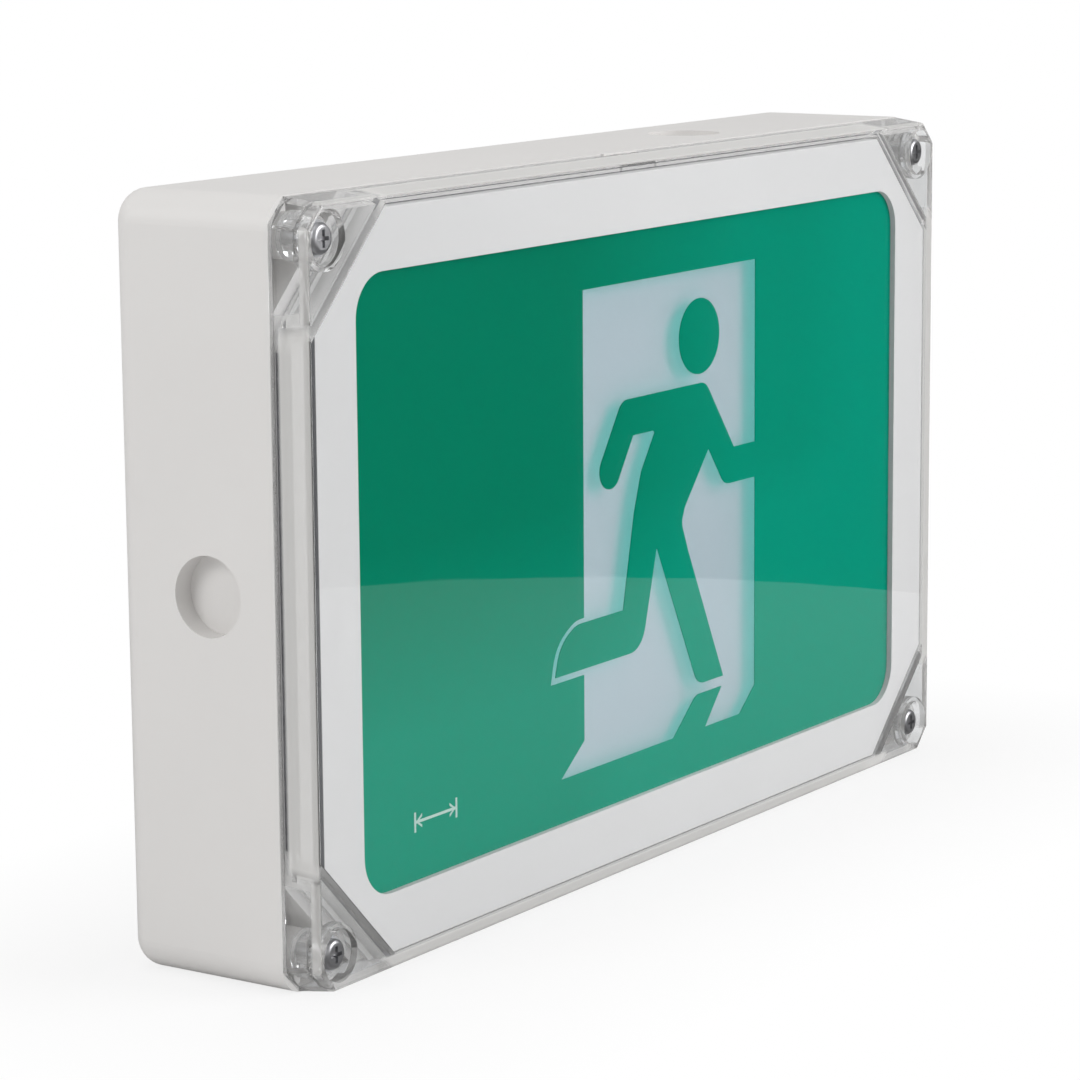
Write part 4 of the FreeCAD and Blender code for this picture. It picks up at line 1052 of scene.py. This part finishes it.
class TreeMaker:
    """Builds a Geometry Nodes tree with named number inputs."""

    def __init__(self, name: str, numbers: Dict[str, float]) -> None:
        """Start a tree.

        Args:
            name: The tree's name.
            numbers: Inputs and their default values.
        """
        self.tree = bpy.data.node_groups.new(name, "GeometryNodeTree")
        face = self.tree.interface
        face.new_socket("Geometry", in_out="OUTPUT", socket_type="NodeSocketGeometry")
        self.ids: Dict[str, str] = {}
        for key, value in numbers.items():
            socket = face.new_socket(key, in_out="INPUT", socket_type="NodeSocketFloat")
            socket.default_value = value
            self.ids[key] = socket.identifier
        self.inlet = self.tree.nodes.new("NodeGroupInput")
        self.outlet = self.tree.nodes.new("NodeGroupOutput")

    def add(self, kind: str, settings: Dict[str, Any], inputs: Dict[Any, Any]) -> bpy.types.Node:
        """Add a node of any type.

        Args:
            kind: The node's type.
            settings: Properties of the node, set before its sockets.
            inputs: Values or sockets by input name or number.

        Returns:
            The new node.
        """
        node = self.tree.nodes.new(kind)
        for key, value in settings.items():
            setattr(node, key, value)
        for key, value in inputs.items():
            if isinstance(value, bpy.types.NodeSocket):
                self.tree.links.new(value, node.inputs[key])
            else:
                node.inputs[key].default_value = value
        return node

    def number(self, name: str) -> bpy.types.NodeSocket:
        """Give a named input's socket."""
        return self.inlet.outputs[name]

    def finish(self, geometry: bpy.types.NodeSocket, material: bpy.types.Material) -> None:
        """End the tree in real geometry with a material.

        Args:
            geometry: What the tree makes.
            material: The material that it gets.
        """
        real = self.add("GeometryNodeRealizeInstances", {}, {0: geometry})
        dressed = self.add(
            "GeometryNodeSetMaterial", {}, {"Geometry": real.outputs[0], "Material": material}
        )
        self.tree.links.new(dressed.outputs[0], self.outlet.inputs[0])

    def apply(self, name: str, sizes: Dict[str, float]) -> bpy.types.Object:
        """Run the tree and keep its result as a plain mesh object.

        Args:
            name: The new object's name.
            sizes: Values for the named inputs.

        Returns:
            The finished object, with no modifier left.
        """
        carrier = bpy.data.objects.new(name + "_maker", bpy.data.meshes.new(name + "_maker"))
        bpy.context.scene.collection.objects.link(carrier)
        modifier = carrier.modifiers.new("maker", "NODES")
        modifier.node_group = self.tree
        for key, value in sizes.items():
            modifier[self.ids[key]] = value
        graph = bpy.context.evaluated_depsgraph_get()
        mesh = bpy.data.meshes.new_from_object(carrier.evaluated_get(graph))
        bpy.data.objects.remove(carrier)
        mesh.name = name
        piece = bpy.data.objects.new(name, mesh)
        bpy.context.scene.collection.objects.link(piece)
        return piece


@dataclass
class ScrewThreads:
    """The fine thread on the four cover screws, seen through the clear bosses."""

    wardrobe: Wardrobe
    pitch: float = 0.7 * MM
    ridge: float = 0.16 * MM
    shank: float = 1.96 * MM
    under_head: float = 4.5 * MM
    head_width: float = 9.5 * MM
    steps_per_turn: int = 14
    ridge_sides: int = 3

    def build(self) -> bpy.types.Object:
        """Make a helix of the thread's pitch along each screw.

        Returns:
            The threads of all four screws as one piece.
        """
        low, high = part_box("cover_screws")
        wide, _, tall = frame_size("cover_screws")
        start = low.y + self.under_head
        length = high.y - start
        sizes = {
            "Turns": length / self.pitch, "Length": length, "Shank": self.shank, "Ridge": self.ridge,
            "Width": wide - self.head_width, "Height": tall - self.head_width, "Start": start,
        }
        maker = TreeMaker("thread", sizes)
        spiral = maker.add("GeometryNodeCurveSpiral", {}, {
            "Resolution": self.steps_per_turn, "Rotations": maker.number("Turns"),
            "Height": maker.number("Length"),
            "Start Radius": maker.number("Shank"), "End Radius": maker.number("Shank"),
        })
        rim = maker.add("GeometryNodeCurvePrimitiveCircle", {}, {
            "Resolution": self.ridge_sides, "Radius": maker.number("Ridge"),
        })
        ridge = maker.add("GeometryNodeCurveToMesh", {}, {
            "Curve": spiral.outputs[0], "Profile Curve": rim.outputs[0],
        })
        laid = maker.add("GeometryNodeTransform", {}, {
            "Geometry": ridge.outputs[0], "Rotation": (math.radians(-90.0), 0.0, 0.0),
        })
        grid = maker.add("GeometryNodeMeshGrid", {}, {
            "Size X": maker.number("Width"), "Size Y": maker.number("Height"),
            "Vertices X": 2, "Vertices Y": 2,
        })
        move = maker.add("ShaderNodeCombineXYZ", {}, {"Y": maker.number("Start")})
        stood = maker.add("GeometryNodeTransform", {}, {
            "Geometry": grid.outputs[0], "Rotation": (math.radians(90.0), 0.0, 0.0),
            "Translation": move.outputs[0],
        })
        spots = maker.add("GeometryNodeInstanceOnPoints", {}, {
            "Points": stood.outputs[0], "Instance": laid.outputs[0],
        })
        maker.finish(spots.outputs[0], self.wardrobe.get(Finish.SCREW))
        piece = maker.apply("cover_screw_threads", sizes)
        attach(piece, "housing")
        return piece


@dataclass
class ButtonCoil:
    """The test button's return spring, a fixed copy carried by the housing."""

    wardrobe: Wardrobe
    weld: float = 0.001 * MM

    def build(self) -> bpy.types.Object:
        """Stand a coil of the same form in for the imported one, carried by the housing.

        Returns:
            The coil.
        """
        body = bmesh.new()
        body.from_mesh(frame["nodes"]["button_spring"].data)
        bmesh.ops.remove_doubles(body, verts=body.verts, dist=self.weld)
        mesh = bpy.data.meshes.new("button_coil")
        body.to_mesh(mesh)
        body.free()
        mesh.materials.append(self.wardrobe.get(Finish.SPRING))
        piece = bpy.data.objects.new("button_coil", mesh)
        bpy.context.scene.collection.objects.link(piece)
        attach(piece, "housing")
        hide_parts("button_spring")
        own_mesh(piece)
        return piece


# ---------------------------------------------------------------- stage
@dataclass(frozen=True)
class SoftLamp:
    """A square soft lamp that faces the middle of the light's back."""

    name: str
    place: Triple
    size: float
    power: float

    def hang(self) -> None:
        """Hang the lamp."""
        data = bpy.data.lights.new(self.name, "AREA")
        data.shape = "SQUARE"
        data.size = self.size
        data.energy = self.power
        item = bpy.data.objects.new(self.name, data)
        bpy.context.scene.collection.objects.link(item)
        item.location = self.place
        item.rotation_euler = (-Vector(self.place)).to_track_quat("-Z", "Y").to_euler()


LAMPS = (
    SoftLamp("overhead", (-0.2, -0.1, 1.6), 1.4, 7.6),
    SoftLamp("front", (0.9, -1.7, 0.7), 1.4, 27.0),
    SoftLamp("left_rear", (-1.7, 0.5, 0.9), 0.9, 12.2),
)


@dataclass
class Studio:
    """Pale floor, soft lamps, white surround and the camera."""

    eye: Vector = field(default_factory=lambda: Vector((-1.0535, -0.7310, 0.2170)))
    ahead: Vector = field(default_factory=lambda: Vector((0.81715, 0.54793, -0.17897)))
    up: Vector = field(default_factory=lambda: Vector((0.15311, 0.09301, 0.98382)))
    lens: float = 125.98
    sensor: float = 36.0
    clip: Band = (0.01, 50.0)
    floor_tone: Levels = (232, 232, 232)
    floor_mirrored: Levels = (124, 124, 124)
    floor_show: float = 0.8
    table_edge: Tuple[Tuple[float, float], Tuple[float, float]] = ((0.381, -0.4416), (0.4805, -0.2184))
    table_reach: float = 3.0
    bow: float = 0.026
    bow_rise: float = 0.25
    edge_steps: int = 16
    floor_gap: float = 0.05 * MM
    shadow_start: float = 0.01
    shadow_reach: float = 0.12
    card_way: Triple = (0.83, -0.55, -0.12)
    card_inner: float = 26.0
    card_outer: float = 44.0
    mirror_dark: float = 0.002
    mirror_pale: float = 0.5
    sky: float = 0.42

    def camera(self) -> None:
        """Place the camera by its viewing direction."""
        data = bpy.data.cameras.new("camera")
        data.lens = self.lens
        data.sensor_width = self.sensor
        data.clip_start, data.clip_end = self.clip
        item = bpy.data.objects.new("camera", data)
        bpy.context.scene.collection.objects.link(item)
        back = -self.ahead.normalized()
        right = self.up.cross(back).normalized()
        true_up = back.cross(right)
        turn = Matrix((right, true_up, back)).transposed()
        item.matrix_world = Matrix.Translation(self.eye) @ turn.to_4x4()
        bpy.context.scene.camera = item

    def floor(self) -> None:
        """Lay the table top that the light stands on, with a slightly bowed far edge."""
        low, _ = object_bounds()
        (ax, ay), (bx, by) = self.table_edge
        along = Vector((bx - ax, by - ay)).normalized()
        inward = Vector((-along.y, along.x))
        middle = Vector(((ax + bx) / 2, (ay + by) / 2))
        half = math.hypot(bx - ax, by - ay) / 2
        reach = self.table_reach
        ring = []
        for step in range(-self.edge_steps, self.edge_steps + 1):
            share = 2.0 * step / self.edge_steps
            drop = self.bow * share * share - self.bow * self.bow_rise
            ring.append(middle + along * half * share + inward * drop)
        ring += [ring[-1] + along * reach + inward * reach, ring[-1] + along * reach + inward * 3 * reach]
        ring += [ring[0] - along * reach + inward * 3 * reach, ring[0] - along * reach + inward * reach]
        mesh = bpy.data.meshes.new("table_top")
        body = bmesh.new()
        face = body.faces.new([body.verts.new((p.x, p.y, low[2] - self.floor_gap)) for p in ring])
        face.normal_update()
        if face.normal.z < 0:
            face.normal_flip()
        body.to_mesh(mesh)
        body.free()
        item = bpy.data.objects.new("table_top", mesh)
        bpy.context.scene.collection.objects.link(item)
        item.data.materials.append(self.floor_finish())
        item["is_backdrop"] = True

    def floor_finish(self) -> bpy.types.Material:
        """Make the table's pale finish, which fades to white away from the light's shadow.

        Returns:
            The finished material.
        """
        g = Graph("pale table")
        low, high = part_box("base_housing")
        beyond_x = (g.axis("X").size() - float(high[0])).top(0.0)
        beyond_y = ((g.axis("Y") - float(low[1]) / 2).size() + float(low[1]) / 2).top(0.0)
        away = (beyond_x * beyond_x + beyond_y * beyond_y) ** 0.5
        show = g.fade(away, self.floor_show, 1.0, self.shadow_start, self.shadow_reach)
        shade = g.mix(g.mirrored(), tone(*self.floor_tone), tone(*self.floor_mirrored))
        cloth = g.add("ShaderNodeBsdfDiffuse", {}, {"Color": shade})
        glow = g.add("ShaderNodeEmission", {}, {"Color": (1.0, 1.0, 1.0, 1.0), "Strength": 1.0})
        factor = g.looked_at() * show
        mixed = g.add("ShaderNodeMixShader", {}, {0: factor, 1: cloth.outputs[0], 2: glow.outputs[0]})
        return g.close(mixed.outputs[0])

    def surround(self) -> None:
        """Set the surround: white where it is looked at, soft light, and a dark card in reflections."""
        g = Graph("surround", world=True)
        card = g.fade(
            g.along(self.card_way), self.mirror_pale, self.mirror_dark,
            math.cos(math.radians(self.card_outer)), math.cos(math.radians(self.card_inner)),
        )
        looked, mirrored = g.looked_at(), g.mirrored()
        strength = looked + (1.0 - looked) * (mirrored * card + (1.0 - mirrored) * self.sky)
        air = g.add("ShaderNodeBackground", {}, {"Color": (1.0, 1.0, 1.0, 1.0), "Strength": strength})
        bpy.context.scene.world = g.close(air.outputs[0])

    def build(self) -> None:
        """Set out the whole studio."""
        bpy.context.scene.view_settings.view_transform = "Standard"
        self.camera()
        self.floor()
        self.surround()
        for lamp in LAMPS:
            lamp.hang()
        log.info("studio: floor, surround, %d soft lamps and camera", len(LAMPS))


def main() -> None:
    """Dress the light and set out its studio."""
    logging.basicConfig(level=logging.INFO, format="%(message)s")
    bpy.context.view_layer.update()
    wardrobe = Wardrobe()
    Studio().build()
    wardrobe.dress()
    threads = ScrewThreads(wardrobe).build()
    coil = ButtonCoil(wardrobe).build()
    for piece in (threads, coil):
        log.info("%s: %d faces", piece.name, len(piece.data.polygons))


if __name__ == "__main__":
    main()
